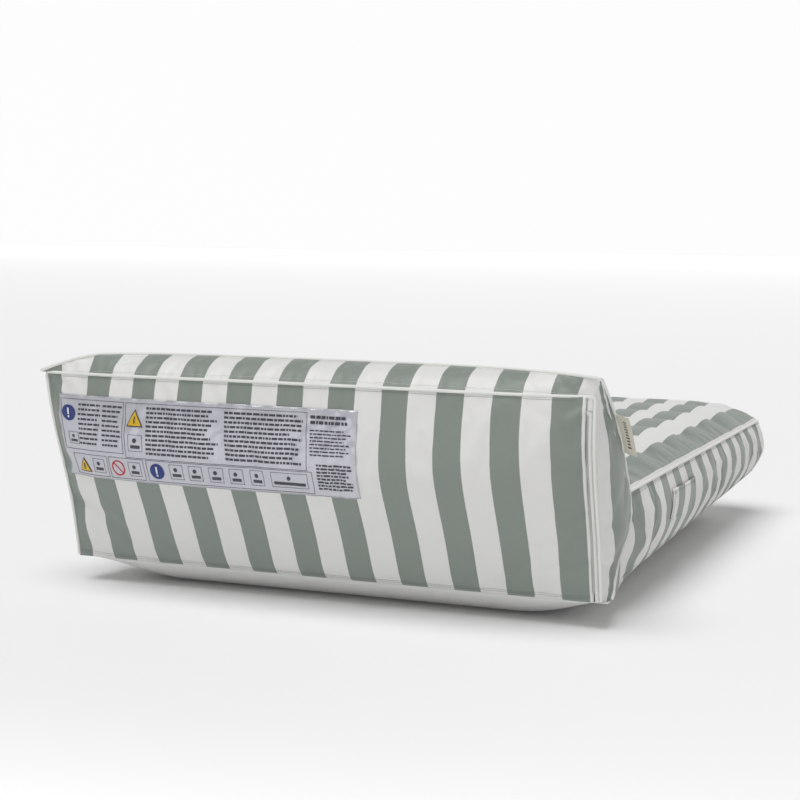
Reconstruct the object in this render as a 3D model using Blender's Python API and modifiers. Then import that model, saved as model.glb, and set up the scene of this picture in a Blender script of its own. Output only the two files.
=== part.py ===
"""Inflatable pool lounge chair: a zipped fabric cover over a seat chamber and a backrest chamber.

Units are metres, +Z is up, +Y points to the foot end, and the origin is on the ground under the
middle of the chair. The cover's seam lines come first, and every panel, piping, chamber and
fitting takes its place from them.
"""

import math

import bmesh
import bpy
import numpy as np
from mathutils import Matrix, Vector

# Cover, measured between seams
COVER_WIDTH = 0.85
COVER_LENGTH = 1.10        # rear hem to foot piping
SEAT_HEIGHT = 0.132        # rear hem to seat piping
BACK_HEIGHT = 0.283        # rear hem to rear piping
BACK_LEAN = 0.085          # how far the rear piping overhangs the rear hem
BAND_RISE = 0.030          # front piping above the rear piping
BAND_DEPTH = 0.040         # front piping forward of the rear piping
RECLINE_REACH = 0.100      # rear hem to where the backrest meets the seat
BELLY_DROP = 0.050         # rear hem above the ground
HEM_RISE = 0.033           # foot hem above the rear hem
FOOT_CORNER = 0.050        # plan radius of the foot corners
HEM_INSET = 0.010          # hem inside the seat piping, in plan

# Fullness of the inflated panels
REAR_BULGE = 0.037
BAND_BULGE = 0.012
FRONT_BULGE = 0.020
GUSSET_BULGE = 0.010
BOXING_BULGE = 0.018
SEAT_CROWN = 0.024
CHANNEL_COUNT = 8
CHANNEL_DEPTH = 0.010

# Materials' thicknesses and clearances
FABRIC = 0.0015
FILM_WALL = 0.0012
PIPING_RADIUS = 0.003
PIPING_CORNER = 0.006      # the piping's bend at the top corners
SEAM_GAP = 0.0042          # panel edge to the line of a piped seam
SLANT_GAP = 0.0062         # the same, where a seam runs slantwise across the panel
PLAIN_GAP = 0.0020         # panel edge to the line of an unpiped seam
FIT_GAP = 0.0003
CHAMBER_GAP = 0.006        # cover's outer face to a chamber

# Zip in the right rear corner
ZIP_FROM = 0.045           # share of the back's height where the chain starts
ZIP_TO = 0.930
ZIP_SLOT = 0.0016
ZIP_COIL = 0.0022
ZIP_COIL_HEIGHT = 0.0014
ZIP_TAPE_WIDTH = 0.0085    # rear tape
ZIP_TAPE_SIDE = 0.0048     # side tape, up to the corner piping
ZIP_TAPE = 0.0010
ZIP_TO_SEAM = 0.0095       # chain's middle to the gusset seam
CORNER_TUCK = 0.010        # how far the zip's corner seam lies inboard of the side
SLIDER_LENGTH = 0.011
SLIDER_PLATE = 0.0012
SLIDER_WEB = 0.0008
STOP_LENGTH = 0.003
GARAGE_LENGTH = 0.016

# Valve flap on the right seat side
FLAP_WIDTH = 0.150
FLAP_HEIGHT = 0.039
FLAP_CENTRE = 0.375        # rear hem to the flap's middle
FLAP_LOW = 0.47 * SEAT_HEIGHT   # flap's lower edge above the rear hem, at its middle
FLAP_TILT = math.radians(-2.9)
FLAP_STAND = 0.0028        # flap's inner face off the boxing, at its middle
OPENING_WIDTH = 0.064
OPENING_HEIGHT = 0.026
HOOK_TAPE_LENGTH = 0.120
HOOK_TAPE_HEIGHT = 0.0055
HOOK_TAPE = 0.0006

# Valves
VALVE_NECK = 0.0118        # bore radius of the welded ring
VALVE_WALL = 0.0011
VALVE_FLANGE = 0.0190
VALVE_SHEET = 0.0012
VALVE_ABOVE = 0.014        # valve's middle above the flap's lower edge
VALVE_DEPTH = 0.0120
VALVE_RUNNING = 0.0003
CAP_RADIUS = 0.0110
CAP_GRIP = 0.0014
BACK_VALVE_Y = 0.004
BACK_VALVE_Z = 0.205

# Labels
LABEL_SPAN = (-0.415, 0.077)
LABEL_HEIGHTS = (0.44, 0.875)
LABEL_FILM = 0.0004
LABEL_STAND = 0.0010
TAG_BASE = (0.745, 0.870)  # where the tag's two corners lie along the gusset's front seam
TAG_WAY = (0.78, 0.53, -0.33)
TAG_REACH = 0.030
TAG_THICKNESS = 0.0009

HALF = COVER_WIDTH / 2
FRONT_TOP = BACK_HEIGHT + BAND_RISE
END_SWING = 0.035          # rear piping runs forward by this much at its ends
REAR_REACH = BACK_LEAN + 0.0153            # furthest back from the rear hem
FOOT_REACH = COVER_LENGTH + BOXING_BULGE - HEM_INSET / 2
HEM_Y = (REAR_REACH - FOOT_REACH) / 2
ZIP_X = HALF - CORNER_TUCK - ZIP_TO_SEAM
CHANNEL = (COVER_LENGTH - RECLINE_REACH) / CHANNEL_COUNT
INSIDE = Vector((0, 0, BELLY_DROP + SEAT_HEIGHT / 2))


def place(x, y, z):
    """A point given from the middle of the rear hem, in the chair's frame."""
    return Vector((x, HEM_Y + y, BELLY_DROP + z))


def mix(a, b, t):
    return a + (b - a) * t


def ease(t):
    """0 to 1 with a level start and end."""
    t = min(max(t, 0.0), 1.0)
    return t * t * (3 - 2 * t)


def settle(t):
    """0 to 1, steep at first and level at the end."""
    t = min(max(t, 0.0), 1.0)
    return t * (2 - t)


# ---------------------------------------------------------------- scene and materials

for old in list(bpy.data.objects):
    bpy.data.objects.remove(old, do_unlink=True)

parts = bpy.data.collections.new("inflatable_lounge_chair")
cutters = bpy.data.collections.new("cutters")
bpy.context.scene.collection.children.link(parts)
bpy.context.scene.collection.children.link(cutters)


def material(name, colour, roughness, metallic=0.0):
    made = bpy.data.materials.new(name)
    made.use_nodes = True
    shader = made.node_tree.nodes["Principled BSDF"]
    shader.inputs["Base Color"].default_value = (*colour, 1.0)
    shader.inputs["Roughness"].default_value = roughness
    shader.inputs["Metallic"].default_value = metallic
    return made


STRIPED = material("striped_polyester", (0.33, 0.37, 0.34), 0.75)
WHITE = material("white_polyester", (0.80, 0.80, 0.78), 0.70)
PIPING = material("piping_bias_tape", (0.84, 0.85, 0.82), 0.65)
COTTON = material("cotton_tag_weave", (0.48, 0.45, 0.37), 0.90)
SILVER = material("silver_print_film", (0.60, 0.60, 0.64), 0.35, 0.3)
TAPE = material("woven_zip_tape", (0.62, 0.62, 0.60), 0.80)
COIL = material("nylon_zip_coil", (0.45, 0.45, 0.44), 0.45)
METAL = material("zinc_slider", (0.55, 0.55, 0.56), 0.35, 1.0)
VINYL = material("clear_grey_vinyl", (0.66, 0.69, 0.70), 0.30)
VALVE = material("white_valve_vinyl", (0.85, 0.85, 0.84), 0.40)
HOOK = material("grey_hook_and_loop", (0.55, 0.56, 0.54), 0.95)


# ---------------------------------------------------------------- makers

def add_object(name, data, look):
    made = bpy.data.objects.new(name, data)
    parts.objects.link(made)
    data.materials.append(look)
    return made


def face_outward(mesh, inside):
    """Turns all the faces of an open sheet so that, on the whole, they look away from a point."""
    outward = 0.0
    for face in mesh.faces:
        face.normal_update()
        outward += face.normal.dot(face.calc_center_median() - inside) * face.calc_area()
    if outward < 0:
        bmesh.ops.reverse_faces(mesh, faces=mesh.faces[:])


def mesh_from(mesh, name):
    data = bpy.data.meshes.new(name)
    mesh.to_mesh(data)
    mesh.free()
    data.shade_smooth()
    data.set_sharp_from_angle(angle=math.radians(35))
    return data


def sheet(name, rows, look, thickness=FABRIC, inside=INSIDE):
    """A sheet of cloth or film lofted through rows of points, thickened to its inner side."""
    mesh = bmesh.new()
    grid = [[mesh.verts.new(point) for point in row] for row in rows]
    for near, far in zip(grid, grid[1:]):
        for k in range(len(near) - 1):
            mesh.faces.new((near[k], near[k + 1], far[k + 1], far[k]))
    face_outward(mesh, inside)
    made = add_object(name, mesh_from(mesh, name), look)
    wall = made.modifiers.new("thickness", "SOLIDIFY")
    wall.thickness = thickness
    wall.offset = -1
    wall.use_even_offset = True
    return made


def tube(name, points, radius, look):
    """A round cord along a line of points."""
    curve = bpy.data.curves.new(name, "CURVE")
    curve.dimensions = "3D"
    curve.bevel_depth = radius
    curve.bevel_resolution = 2
    curve.use_fill_caps = True
    line = curve.splines.new("POLY")
    line.points.add(len(points) - 1)
    for point, target in zip(points, line.points):
        target.co = (*point, 1.0)
    return add_object(name, curve, look)


def prism(name, outline, length, matrix, look, collection=None):
    """A flat outline, in the matrix's X and Y, drawn out by a length along its Z."""
    mesh = bmesh.new()
    corners = [mesh.verts.new((x, y, 0)) for x, y in outline]
    base = mesh.faces.new(corners)
    grown = bmesh.ops.extrude_face_region(mesh, geom=[base])
    moved = [item for item in grown["geom"] if isinstance(item, bmesh.types.BMVert)]
    bmesh.ops.translate(mesh, verts=moved, vec=(0, 0, length))
    bmesh.ops.recalc_face_normals(mesh, faces=mesh.faces[:])
    data = bpy.data.meshes.new(name)
    mesh.to_mesh(data)
    mesh.free()
    data.materials.append(look)
    made = bpy.data.objects.new(name, data)
    (collection or parts).objects.link(made)
    made.matrix_world = matrix
    return made


def turned(name, profile, matrix, look, steps=20):
    """A profile of (radius, height) points, top to bottom, spun round the matrix's Z axis."""
    mesh = bmesh.new()
    points = [mesh.verts.new((radius, 0, height)) for radius, height in profile]
    for first, second in zip(points, points[1:]):
        mesh.edges.new((first, second))
    if profile[0][0] > 0:
        mesh.edges.new((points[-1], points[0]))
    data = bpy.data.meshes.new(name)
    mesh.to_mesh(data)
    mesh.free()
    made = add_object(name, data, look)
    made.matrix_world = matrix
    screw = made.modifiers.new("turn", "SCREW")
    screw.steps = steps
    screw.render_steps = steps
    screw.use_merge_vertices = True
    screw.merge_threshold = 0.00005
    return made


def boolean(target, cutter, operation="DIFFERENCE"):
    cut = target.modifiers.new(cutter.name, "BOOLEAN")
    cut.operation = operation
    cut.object = cutter


def hide_cutter(cutter):
    cutter.hide_render = True
    cutter.display_type = "WIRE"
    return cutter


def frame_at(origin, across, up):
    """A matrix whose X runs across, whose Y is nearest to up, and whose Z is square to both."""
    x = Vector(across).normalized()
    z = x.cross(Vector(up)).normalized()
    y = z.cross(x)
    return Matrix.Translation(origin) @ Matrix((x, y, z)).transposed().to_4x4()


def spline(points, share):
    """A point on a smooth curve through the given points, share running from 0 to 1."""
    spot = min(max(share, 0.0), 1.0) * (len(points) - 1)
    k = min(int(spot), len(points) - 2)
    t = spot - k
    here, there = points[k], points[k + 1]
    before = points[k - 1] if k > 0 else 2 * here - there
    after = points[k + 2] if k + 2 < len(points) else 2 * there - here
    return 0.5 * (
        2 * here
        + (there - before) * t
        + (2 * before - 5 * here + 4 * there - after) * t**2
        + (3 * here - 3 * there + after - before) * t**3
    )


def fillet(points, corner, radius, steps=4):
    """Rounds the polyline's corner at that index."""
    here = points[corner]
    inward = (points[corner - 1] - here).normalized()
    onward = (points[corner + 1] - here).normalized()
    start, end = here + inward * radius, here + onward * radius
    arc = []
    for step in range(steps + 1):
        t = step / steps
        arc.append(start * (1 - t) ** 2 + here * 2 * t * (1 - t) + end * t**2)
    return points[:corner] + arc + points[corner + 1:]


# ---------------------------------------------------------------- seam lines, from the rear hem

REAR_END_LEAN = BACK_LEAN - END_SWING
FRONT_END_LEAN = REAR_END_LEAN + 0.008
HEM_END = 0.014            # gusset's width at the hem
HEM_START = -0.004         # rear hem's own place


def rear_seam(x):
    """Rear piping's line over the back."""
    s = x / HALF
    return -BACK_LEAN + END_SWING * s**4, BACK_HEIGHT - 0.003 * s * s


def front_seam(x):
    """Front piping's line over the back."""
    s = x / HALF
    middle = BAND_DEPTH - BACK_LEAN
    return middle - (FRONT_END_LEAN + middle) * s**4, FRONT_TOP - 0.007 * s**4


def gusset_front(share):
    """Front seam of a gusset, from the hem up to the top corner, as (y, z)."""
    top = front_seam(HALF)
    rise = top[1] - SEAT_HEIGHT
    line = [
        Vector((HEM_END, 0.0)),
        Vector((0.45 * RECLINE_REACH, 0.34 * SEAT_HEIGHT)),
        Vector((0.98 * RECLINE_REACH, 0.65 * SEAT_HEIGHT)),
        Vector((0.98 * RECLINE_REACH, SEAT_HEIGHT)),
        Vector((0.22 * RECLINE_REACH, SEAT_HEIGHT + 0.62 * rise)),
        Vector(top),
    ]
    return spline(line, share)


GUSSET_JOIN = 0.6          # share of that seam at which the seat piping meets it


def gusset_rear(share):
    """Rear seam of a gusset, from the hem up to the rear piping, as (y, z)."""
    return mix(Vector((HEM_START, 0.0)), Vector(rear_seam(HALF)), share)


def plan(segment, share, half, start, end, corner):
    """Path round the seat in plan: right side, foot corner, foot, foot corner, left side.
    Gives x, y and the outward direction."""
    if segment in (0, 4):
        side = 1 if segment == 0 else -1
        along = share if segment == 0 else 1 - share
        return side * half, mix(start, end - corner, along), (side, 0)
    if segment == 2:
        return mix(half - corner, corner - half, share), end, (0, 1)
    side = 1 if segment == 1 else -1
    turn = math.radians(90) * (share if segment == 1 else 1 - share)
    away = (side * math.cos(turn), math.sin(turn))
    return side * (half - corner) + corner * away[0], end - corner + corner * away[1], away


def hem_height(y):
    return HEM_RISE * max(y, 0) / COVER_LENGTH


def hem_half(y):
    return HALF - HEM_INSET * ease(y / 0.10)


def seat_side(y, z):
    """How far out the seat boxing reaches at a height, on the straight part of a side."""
    down = (SEAT_HEIGHT - z) / (SEAT_HEIGHT - hem_height(y))
    full = BOXING_BULGE * ease((y - HEM_END) / 0.12)
    return mix(HALF, hem_half(y), down) + full * math.sin(math.pi * down)


def boxing_point(segment, share, down):
    """Outer face of the boxing: down is 0 at the seat piping and 1 at the hem."""
    join = gusset_front(GUSSET_JOIN)
    low_end = COVER_LENGTH - HEM_INSET
    top = plan(segment, share, HALF, join.x, COVER_LENGTH, FOOT_CORNER)
    low = plan(segment, share, HALF - HEM_INSET, HEM_END, low_end, FOOT_CORNER)
    y = mix(top[1], low[1], down)
    along = share if segment == 0 else 1 - share if segment == 4 else 1.0
    z = mix(SEAT_HEIGHT, hem_height(low[1]), down)
    if segment in (0, 4):
        length = COVER_LENGTH - join.x
        hold = max(0.0, 1 - along * length / 0.14)
        seam = gusset_front(GUSSET_JOIN * (1 - down))
        straight = mix(join, Vector((HEM_END, 0.0)), down)
        y += (seam.x - straight.x) * hold
        z += (seam.y - straight.y) * hold
        low_x = math.copysign(hem_half(low[1] - HEM_END), top[0])
    else:
        low_x = low[0]
    full = BOXING_BULGE * math.sin(math.pi * down)
    if segment in (0, 4):
        full *= ease(along * (COVER_LENGTH - join.x) / 0.12)
    x = mix(top[0], low_x, down) + top[2][0] * full
    return place(x, y + top[2][1] * full, z)


def seat_half(y, half=HALF, end=COVER_LENGTH, corner=FOOT_CORNER):
    """Half the seat's width at y, with its foot corners rounded."""
    past = y - (end - corner)
    if past <= 0:
        return half
    return half - corner + math.sqrt(max(corner**2 - past**2, 0.0))


def seat_top(x, y):
    """Height of the seat panel's outer face above the rear hem."""
    crown = SEAT_CROWN * (1 - abs(x / HALF) ** 3) * settle((COVER_LENGTH - y) / 0.07)
    phase = (y - RECLINE_REACH) / CHANNEL
    valley = 1 - abs(math.sin(math.pi * phase)) ** 0.7
    edge = settle((HALF - abs(x)) / 0.08) * ease((COVER_LENGTH - y) / 0.05)
    return SEAT_HEIGHT + crown - CHANNEL_DEPTH * valley * edge


def belly(x, y):
    """Height of the bottom panel's outer face above the ground."""
    end = COVER_LENGTH - HEM_INSET
    half = seat_half(y, hem_half(y), end)
    low = settle((half - abs(x)) / 0.15)
    low *= settle((y - HEM_START) / 0.088) * settle((end - y) / 0.16)
    return (BELLY_DROP + hem_height(y)) * (1 - low)


def rear_point(x, share, left, right):
    """Outer face of the rear panel; share is 0 at the hem and 1 at the rear piping."""
    seam_y, seam_z = rear_seam(x)
    side = (x - (left + right) / 2) / ((right - left) / 2)
    full = REAR_BULGE * (1 - abs(side) ** 4.5) * math.sin(math.pi * share**1.6)
    return mix(HEM_START, seam_y, share) - full, seam_z * share


def tucked(x, share=1.0):
    """The zip's corner draws the rear seam inboard near its right end."""
    return x - CORNER_TUCK * share * ease((x / HALF - 0.75) / 0.25)


# ---------------------------------------------------------------- cover panels

REAR_LEFT = -HALF + SEAM_GAP
REAR_RIGHT = ZIP_X - ZIP_SLOT / 2 - ZIP_TAPE_WIDTH - 0.0006


def make_rear_panel():
    shares = np.linspace(PLAIN_GAP / BACK_HEIGHT, 1 - SEAM_GAP / BACK_HEIGHT, 11)
    rows = []
    for share in shares:
        row = []
        for x in np.linspace(REAR_LEFT, REAR_RIGHT, 23):
            y, z = rear_point(x, share, REAR_LEFT, REAR_RIGHT)
            row.append(place(x, y, z))
        rows.append(row)
    sheet("rear_panel", rows, STRIPED)


def ruled(first, second, from_first, from_second, count, bulge, away):
    """Points from one (y, z) to another, short of both by the given gaps, bulged outwards."""
    first, second = Vector(first), Vector(second)
    length = (second - first).length
    normal = Vector(away)
    points = []
    for t in np.linspace(from_first / length, 1 - from_second / length, count):
        points.append(mix(first, second, t) + normal * bulge * math.sin(math.pi * t))
    return points


def make_top_band():
    rows = []
    for x in np.linspace(-HALF + SEAM_GAP, HALF - SEAM_GAP, 17):
        ends = (Vector(rear_seam(x)), Vector(front_seam(x)))
        across = (ends[1] - ends[0]).normalized()
        up = Vector((-across.y, across.x))
        full = BAND_BULGE * (1 - abs(x / HALF) ** 4)
        line = ruled(*ends, SEAM_GAP, SEAM_GAP, 5, full, up)
        spread = np.linspace(1, 0, len(line))
        rows.append([place(tucked(x, share), *point) for share, point in zip(spread, line)])
    sheet("top_band", rows, STRIPED)


def junction(x):
    """Where the front of the backrest meets the seat panel, as (y, z)."""
    lift = 1 - abs(x / HALF) ** 3
    return RECLINE_REACH + 0.010 * lift, SEAT_HEIGHT + (SEAT_CROWN - CHANNEL_DEPTH) * lift


def make_back_front():
    rows = []
    for x in np.linspace(-HALF + SEAM_GAP, HALF - SEAM_GAP, 15):
        ends = (Vector(front_seam(x)), Vector(junction(x)))
        across = (ends[1] - ends[0]).normalized()
        forward = Vector((-across.y, across.x))
        full = FRONT_BULGE * (1 - abs(x / HALF) ** 4)
        line = ruled(*ends, SEAM_GAP, PLAIN_GAP + 0.003, 7, full, forward)
        rows.append([place(x, *point) for point in line])
    sheet("back_front_panel", rows, STRIPED, inside=place(0, 0, SEAT_HEIGHT))


def make_gusset(name, side):
    rows = []
    for share in np.linspace(0.012, 0.93, 16):
        first, second = gusset_rear(share), gusset_front(share)
        length = (second - first).length
        rear_gap = min(SEAM_GAP + 0.001, 0.25 * length)
        front_gap = min(SLANT_GAP, 0.35 * length)
        row = []
        for t in np.linspace(rear_gap / length, 1 - front_gap / length, 5):
            y, z = mix(first, second, t)
            full = GUSSET_BULGE * math.sin(math.pi * t) * math.sin(math.pi * share)
            x = HALF + full - (CORNER_TUCK * (1 - t) if side > 0 else 0)
            row.append(place(side * x, y, z))
        rows.append(row)
    sheet(name, rows, STRIPED)


def make_seat_panel():
    steps = 4
    stations = []
    for channel in range(CHANNEL_COUNT):
        for step in range(steps):
            stations.append(RECLINE_REACH + CHANNEL * (channel + step / steps))
    stations[0] += PLAIN_GAP + 0.012
    stations = [y for y in stations if y < COVER_LENGTH - FOOT_CORNER * 0.9]
    for turn in (60, 40, 22):
        stations.append(COVER_LENGTH - FOOT_CORNER * (1 - math.cos(math.radians(turn))))
    stations.append(COVER_LENGTH - SEAM_GAP)
    rows = []
    for y in sorted(stations):
        half = seat_half(min(y + SEAM_GAP, COVER_LENGTH)) - SEAM_GAP
        row = []
        for s in (-1, -0.86, -0.62, -0.32, 0, 0.32, 0.62, 0.86, 1):
            row.append(place(s * half, y, seat_top(s * half, y)))
        rows.append(row)
    sheet("seat_panel", rows, STRIPED)


def path_shares():
    """(segment, share) pairs along the boxing, closer together where it turns."""
    side = [0.0, 0.05, 0.10, 0.16, 0.30, 0.45, 0.65, 0.85]
    found = [(0, share) for share in side]
    found += [(1, k / 4) for k in range(4)]
    found += [(2, k / 4) for k in range(4)]
    found += [(3, k / 4) for k in range(4)]
    found += [(4, 0.0)] + [(4, 1 - share) for share in reversed(side)]
    return found


def make_boxing():
    height = SEAT_HEIGHT
    downs = np.linspace(SEAM_GAP / height, 1 - PLAIN_GAP / height, 8)
    rows = []
    shares = path_shares()
    gap = (SLANT_GAP + 0.004) / (COVER_LENGTH - RECLINE_REACH)
    shares[0] = (0, gap)
    shares[-1] = (4, 1 - gap)
    for segment, share in shares:
        rows.append([boxing_point(segment, share, down) for down in downs])
    boxing = sheet("seat_boxing", rows, STRIPED)
    middle = flap_middle()
    outline = slot_outline(OPENING_WIDTH, OPENING_HEIGHT)
    across = frame_at(middle + Vector((-0.05, 0, 0)), (0, 1, 0), (0, 0, 1))
    hole = prism("valve_opening_cutter", outline, 0.1, across, STRIPED, cutters)
    boolean(boxing, hide_cutter(hole))


def slot_outline(width, height, steps=6):
    """A flat slot with round ends, counter-clockwise."""
    radius = height / 2
    points = []
    for side in (1, -1):
        for step in range(steps + 1):
            turn = math.radians(-90 + 180 * step / steps)
            x = width / 2 - radius + radius * math.cos(turn)
            points.append((side * x, side * radius * math.sin(turn)))
    return points


def make_bottom_panel():
    end = COVER_LENGTH - HEM_INSET
    start = HEM_START + PLAIN_GAP
    stations = [start, 0.012, 0.030, 0.055, 0.0845, 0.30, 0.60, end - 0.16, end - 0.11]
    stations += [end - 0.07, end - 0.045, end - 0.028, end - 0.014, end - PLAIN_GAP]
    rows = []
    for y in stations:
        half = seat_half(y, hem_half(y), end) - PLAIN_GAP
        flat = (hem_half(y) - 0.15) / half
        row = []
        for s in (-1, -0.94, -0.86, -0.75, -flat, 0, flat, 0.75, 0.86, 0.94, 1):
            row.append(Vector((s * half, HEM_Y + y, belly(s * half, y))))
        rows.append(row)
    sheet("bottom_panel", rows, WHITE)


# ---------------------------------------------------------------- pipings

def make_pipings():
    end_up = 0.010
    rear = []
    for side in (-1, 1):
        x = tucked(side * HALF)
        rear.append([place(x, *gusset_rear(t)) for t in (end_up / BACK_HEIGHT, 0.5, 1.0)])
    over = [place(tucked(x), *rear_seam(x)) for x in np.linspace(-HALF, HALF, 17)]
    points = rear[0] + over[1:-1] + list(reversed(rear[1]))
    points = fillet(points, len(points) - 3, PIPING_CORNER)
    points = fillet(points, 2, PIPING_CORNER)
    tube("rear_piping", points, PIPING_RADIUS, PIPING)

    shares = np.linspace(0.03, 1.0, 30)
    left = [place(-HALF, *gusset_front(share)) for share in shares]
    right = [place(HALF, *gusset_front(share)) for share in shares]
    over = [place(x, *front_seam(x)) for x in np.linspace(-HALF, HALF, 17)]
    points = left + over[1:-1] + list(reversed(right))
    points = fillet(points, len(points) - len(right), PIPING_CORNER)
    points = fillet(points, len(left) - 1, PIPING_CORNER)
    tube("front_piping", points, PIPING_RADIUS, PIPING)

    join = gusset_front(GUSSET_JOIN)
    start = join.x + 2 * PIPING_RADIUS + 0.0015
    points = []
    for segment in range(5):
        steps = 6 if segment in (1, 3) else 1
        for step in range(steps + (segment == 4)):
            x, y, _ = plan(segment, step / steps, HALF, start, COVER_LENGTH, FOOT_CORNER)
            points.append(place(x, y, SEAT_HEIGHT))
    tube("seat_piping", points, PIPING_RADIUS, PIPING)


# ---------------------------------------------------------------- zip

def zip_line(share):
    """Middle of the zip chain, from the hem up."""
    lean = 0.052 * BACK_LEAN / 0.085
    return place(ZIP_X, HEM_START - lean * share, BACK_HEIGHT * share)


ZIP_UP = (zip_line(1) - zip_line(0)).normalized()
ZIP_OUT = Vector((1, 0, 0)).cross(ZIP_UP)
ZIP_OUT = ZIP_OUT if ZIP_OUT.y < 0 else -ZIP_OUT


def zip_block(name, outline, start, length, look):
    """An outline in (right, outward) drawn along the zip from a point on its line."""
    matrix = Matrix((Vector((1, 0, 0)), ZIP_OUT, Vector((1, 0, 0)).cross(ZIP_OUT)))
    if matrix[2].dot(ZIP_UP) < 0:
        start = start + ZIP_UP * length
    return prism(name, outline, length, Matrix.Translation(start) @ matrix.transposed().to_4x4(), look)


def rectangle(left, right, low, high):
    return [(left, low), (right, low), (right, high), (left, high)]


def make_zip():
    bottom, top = zip_line(ZIP_FROM), zip_line(ZIP_TO)
    length = (top - bottom).length
    for side, name, width in ((-1, "rear", ZIP_TAPE_WIDTH), (1, "side", ZIP_TAPE_SIDE)):
        near, far = side * ZIP_SLOT / 2, side * (ZIP_SLOT / 2 + width)
        edges = sorted((near, far))
        zip_block(f"zip_tape_{name}", rectangle(*edges, -ZIP_TAPE, 0), bottom, length, TAPE)
        edges = sorted((near, side * (ZIP_SLOT / 2 + ZIP_COIL)))
        coil = rectangle(*edges, FIT_GAP, FIT_GAP + ZIP_COIL_HEIGHT)
        first = bottom + ZIP_UP * (STOP_LENGTH + FIT_GAP)
        zip_block(f"zip_coil_{name}", coil, first, length - 2 * (STOP_LENGTH + FIT_GAP), COIL)
    reach = ZIP_SLOT / 2 + ZIP_COIL
    stop = rectangle(-reach, reach, FIT_GAP, FIT_GAP + ZIP_COIL_HEIGHT)
    zip_block("zip_bottom_stop", stop, bottom, STOP_LENGTH, METAL)
    zip_block("zip_top_stop", stop, top - ZIP_UP * STOP_LENGTH, STOP_LENGTH, METAL)

    half = reach + 0.0008
    web = SLIDER_WEB / 2
    outer = FIT_GAP + ZIP_COIL_HEIGHT + 0.0004
    inner = -ZIP_TAPE - 0.0004
    slider = [
        (half, outer), (half, outer + SLIDER_PLATE), (-half, outer + SLIDER_PLATE), (-half, outer),
        (-web, outer), (-web, inner), (-half, inner), (-half, inner - SLIDER_PLATE),
        (half, inner - SLIDER_PLATE), (half, inner), (web, inner), (web, outer),
    ]
    parked = top - ZIP_UP * (STOP_LENGTH + FIT_GAP + SLIDER_LENGTH)
    zip_block("zip_slider", slider, parked, SLIDER_LENGTH, METAL)

    roof = outer + SLIDER_PLATE + 0.0006
    side = half + 0.0008
    cloth = 0.0008
    garage = [
        (-side - cloth, FIT_GAP), (-side, FIT_GAP), (-side, roof), (side, roof),
        (side, FIT_GAP), (side + cloth, FIT_GAP), (side + cloth, roof + cloth),
        (-side - cloth, roof + cloth),
    ]
    over = top - ZIP_UP * GARAGE_LENGTH
    zip_block("zip_garage", garage, over, GARAGE_LENGTH, WHITE)


# ---------------------------------------------------------------- valve flap

def flap_low(along):
    """Height of the flap's lower edge above the rear hem, along being from its middle."""
    return FLAP_LOW + math.tan(FLAP_TILT) * along


def flap_middle():
    z = flap_low(0) + VALVE_ABOVE
    return place(seat_side(FLAP_CENTRE, z), FLAP_CENTRE, z)


def flap_rows(width, low, high, stand, across=9, up=5):
    """Rows of points on the flap's inner face, over a share of its height."""
    rows = []
    for along in np.linspace(-width / 2, width / 2, across):
        row = []
        for t in np.linspace(low, high, up):
            z = flap_low(along) + FLAP_HEIGHT * t
            off = FIT_GAP + stand * math.sin(math.pi * (0.12 + 0.55 * t))
            x = seat_side(FLAP_CENTRE, z) + off
            row.append(place(x, FLAP_CENTRE + along, z))
        rows.append(row)
    return rows


def shift(rows, x):
    return [[point + Vector((x, 0, 0)) for point in row] for row in rows]


def make_flap():
    inner = flap_rows(FLAP_WIDTH, 0.0, 1.0, FLAP_STAND)
    flap = sheet("valve_flap", shift(inner, FABRIC), STRIPED)
    flap.modifiers["thickness"].use_even_offset = False
    high = 0.97
    low = high - HOOK_TAPE_HEIGHT / FLAP_HEIGHT
    hook = flap_rows(HOOK_TAPE_LENGTH, low, high, FLAP_STAND, 7, 3)
    sheet("flap_hook_tape", shift(hook, -FIT_GAP), HOOK, HOOK_TAPE)
    loop = []
    for row in flap_rows(HOOK_TAPE_LENGTH, low, high, 0, 7, 3):
        loop.append([point + Vector((HOOK_TAPE + FIT_GAP, 0, 0)) for point in row])
    sheet("flap_loop_tape", loop, HOOK, HOOK_TAPE)


# ---------------------------------------------------------------- chambers

CHAMBER_HALF = HALF + BOXING_BULGE - CHAMBER_GAP - 0.0055
CHAMBER_REAR = -0.004
CHAMBER_END = COVER_LENGTH + 0.003
CHAMBER_ROUND = 0.030
FLAT_LOW = 0.62            # the chamber's flat side, as shares of the boxing from its top
FLAT_HIGH = 0.27
UNDER_BACK = 0.112


def chamber_half(y):
    """Half the seat chamber's width at y, drawn in where the gussets are."""
    near = HALF - 0.013
    half = mix(near, CHAMBER_HALF, ease((y - RECLINE_REACH - 0.01) / 0.08))
    return seat_half(y, half, CHAMBER_END, FOOT_CORNER + 0.01)


def chamber_top(x, y):
    step = ease((y - RECLINE_REACH) / 0.035)
    return mix(UNDER_BACK, seat_top(x, max(y, RECLINE_REACH)) - CHAMBER_GAP, step)


def down_boxing(y, share):
    """Height above the rear hem at a share of the boxing's height, from its top."""
    return mix(SEAT_HEIGHT, hem_height(y), share)


def chamber_ring(y, tuck):
    """Closed section of the seat chamber at y; tuck is 1 where an end has rounded in."""
    half = chamber_half(y) - tuck * CHAMBER_ROUND
    high = down_boxing(y, FLAT_HIGH)
    flat = half * 0.78
    points = []
    for x in (flat, flat * 0.5, 0, -flat * 0.5, -flat):
        points.append((x, mix(chamber_top(x, y), high, tuck)))
    for side in (-1, 1):
        top = points[4 if side < 0 else 0][1]
        corner = [(side * half, high), (side * (half - 0.010), mix(high, top, 0.71))]
        if side < 0:
            points += reversed(corner)
            points += lower_corner(half, y, tuck, -1)
        else:
            points += reversed(lower_corner(half, y, tuck, 1))
            points += corner
    return [place(x, y, z) for x, z in points]


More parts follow.
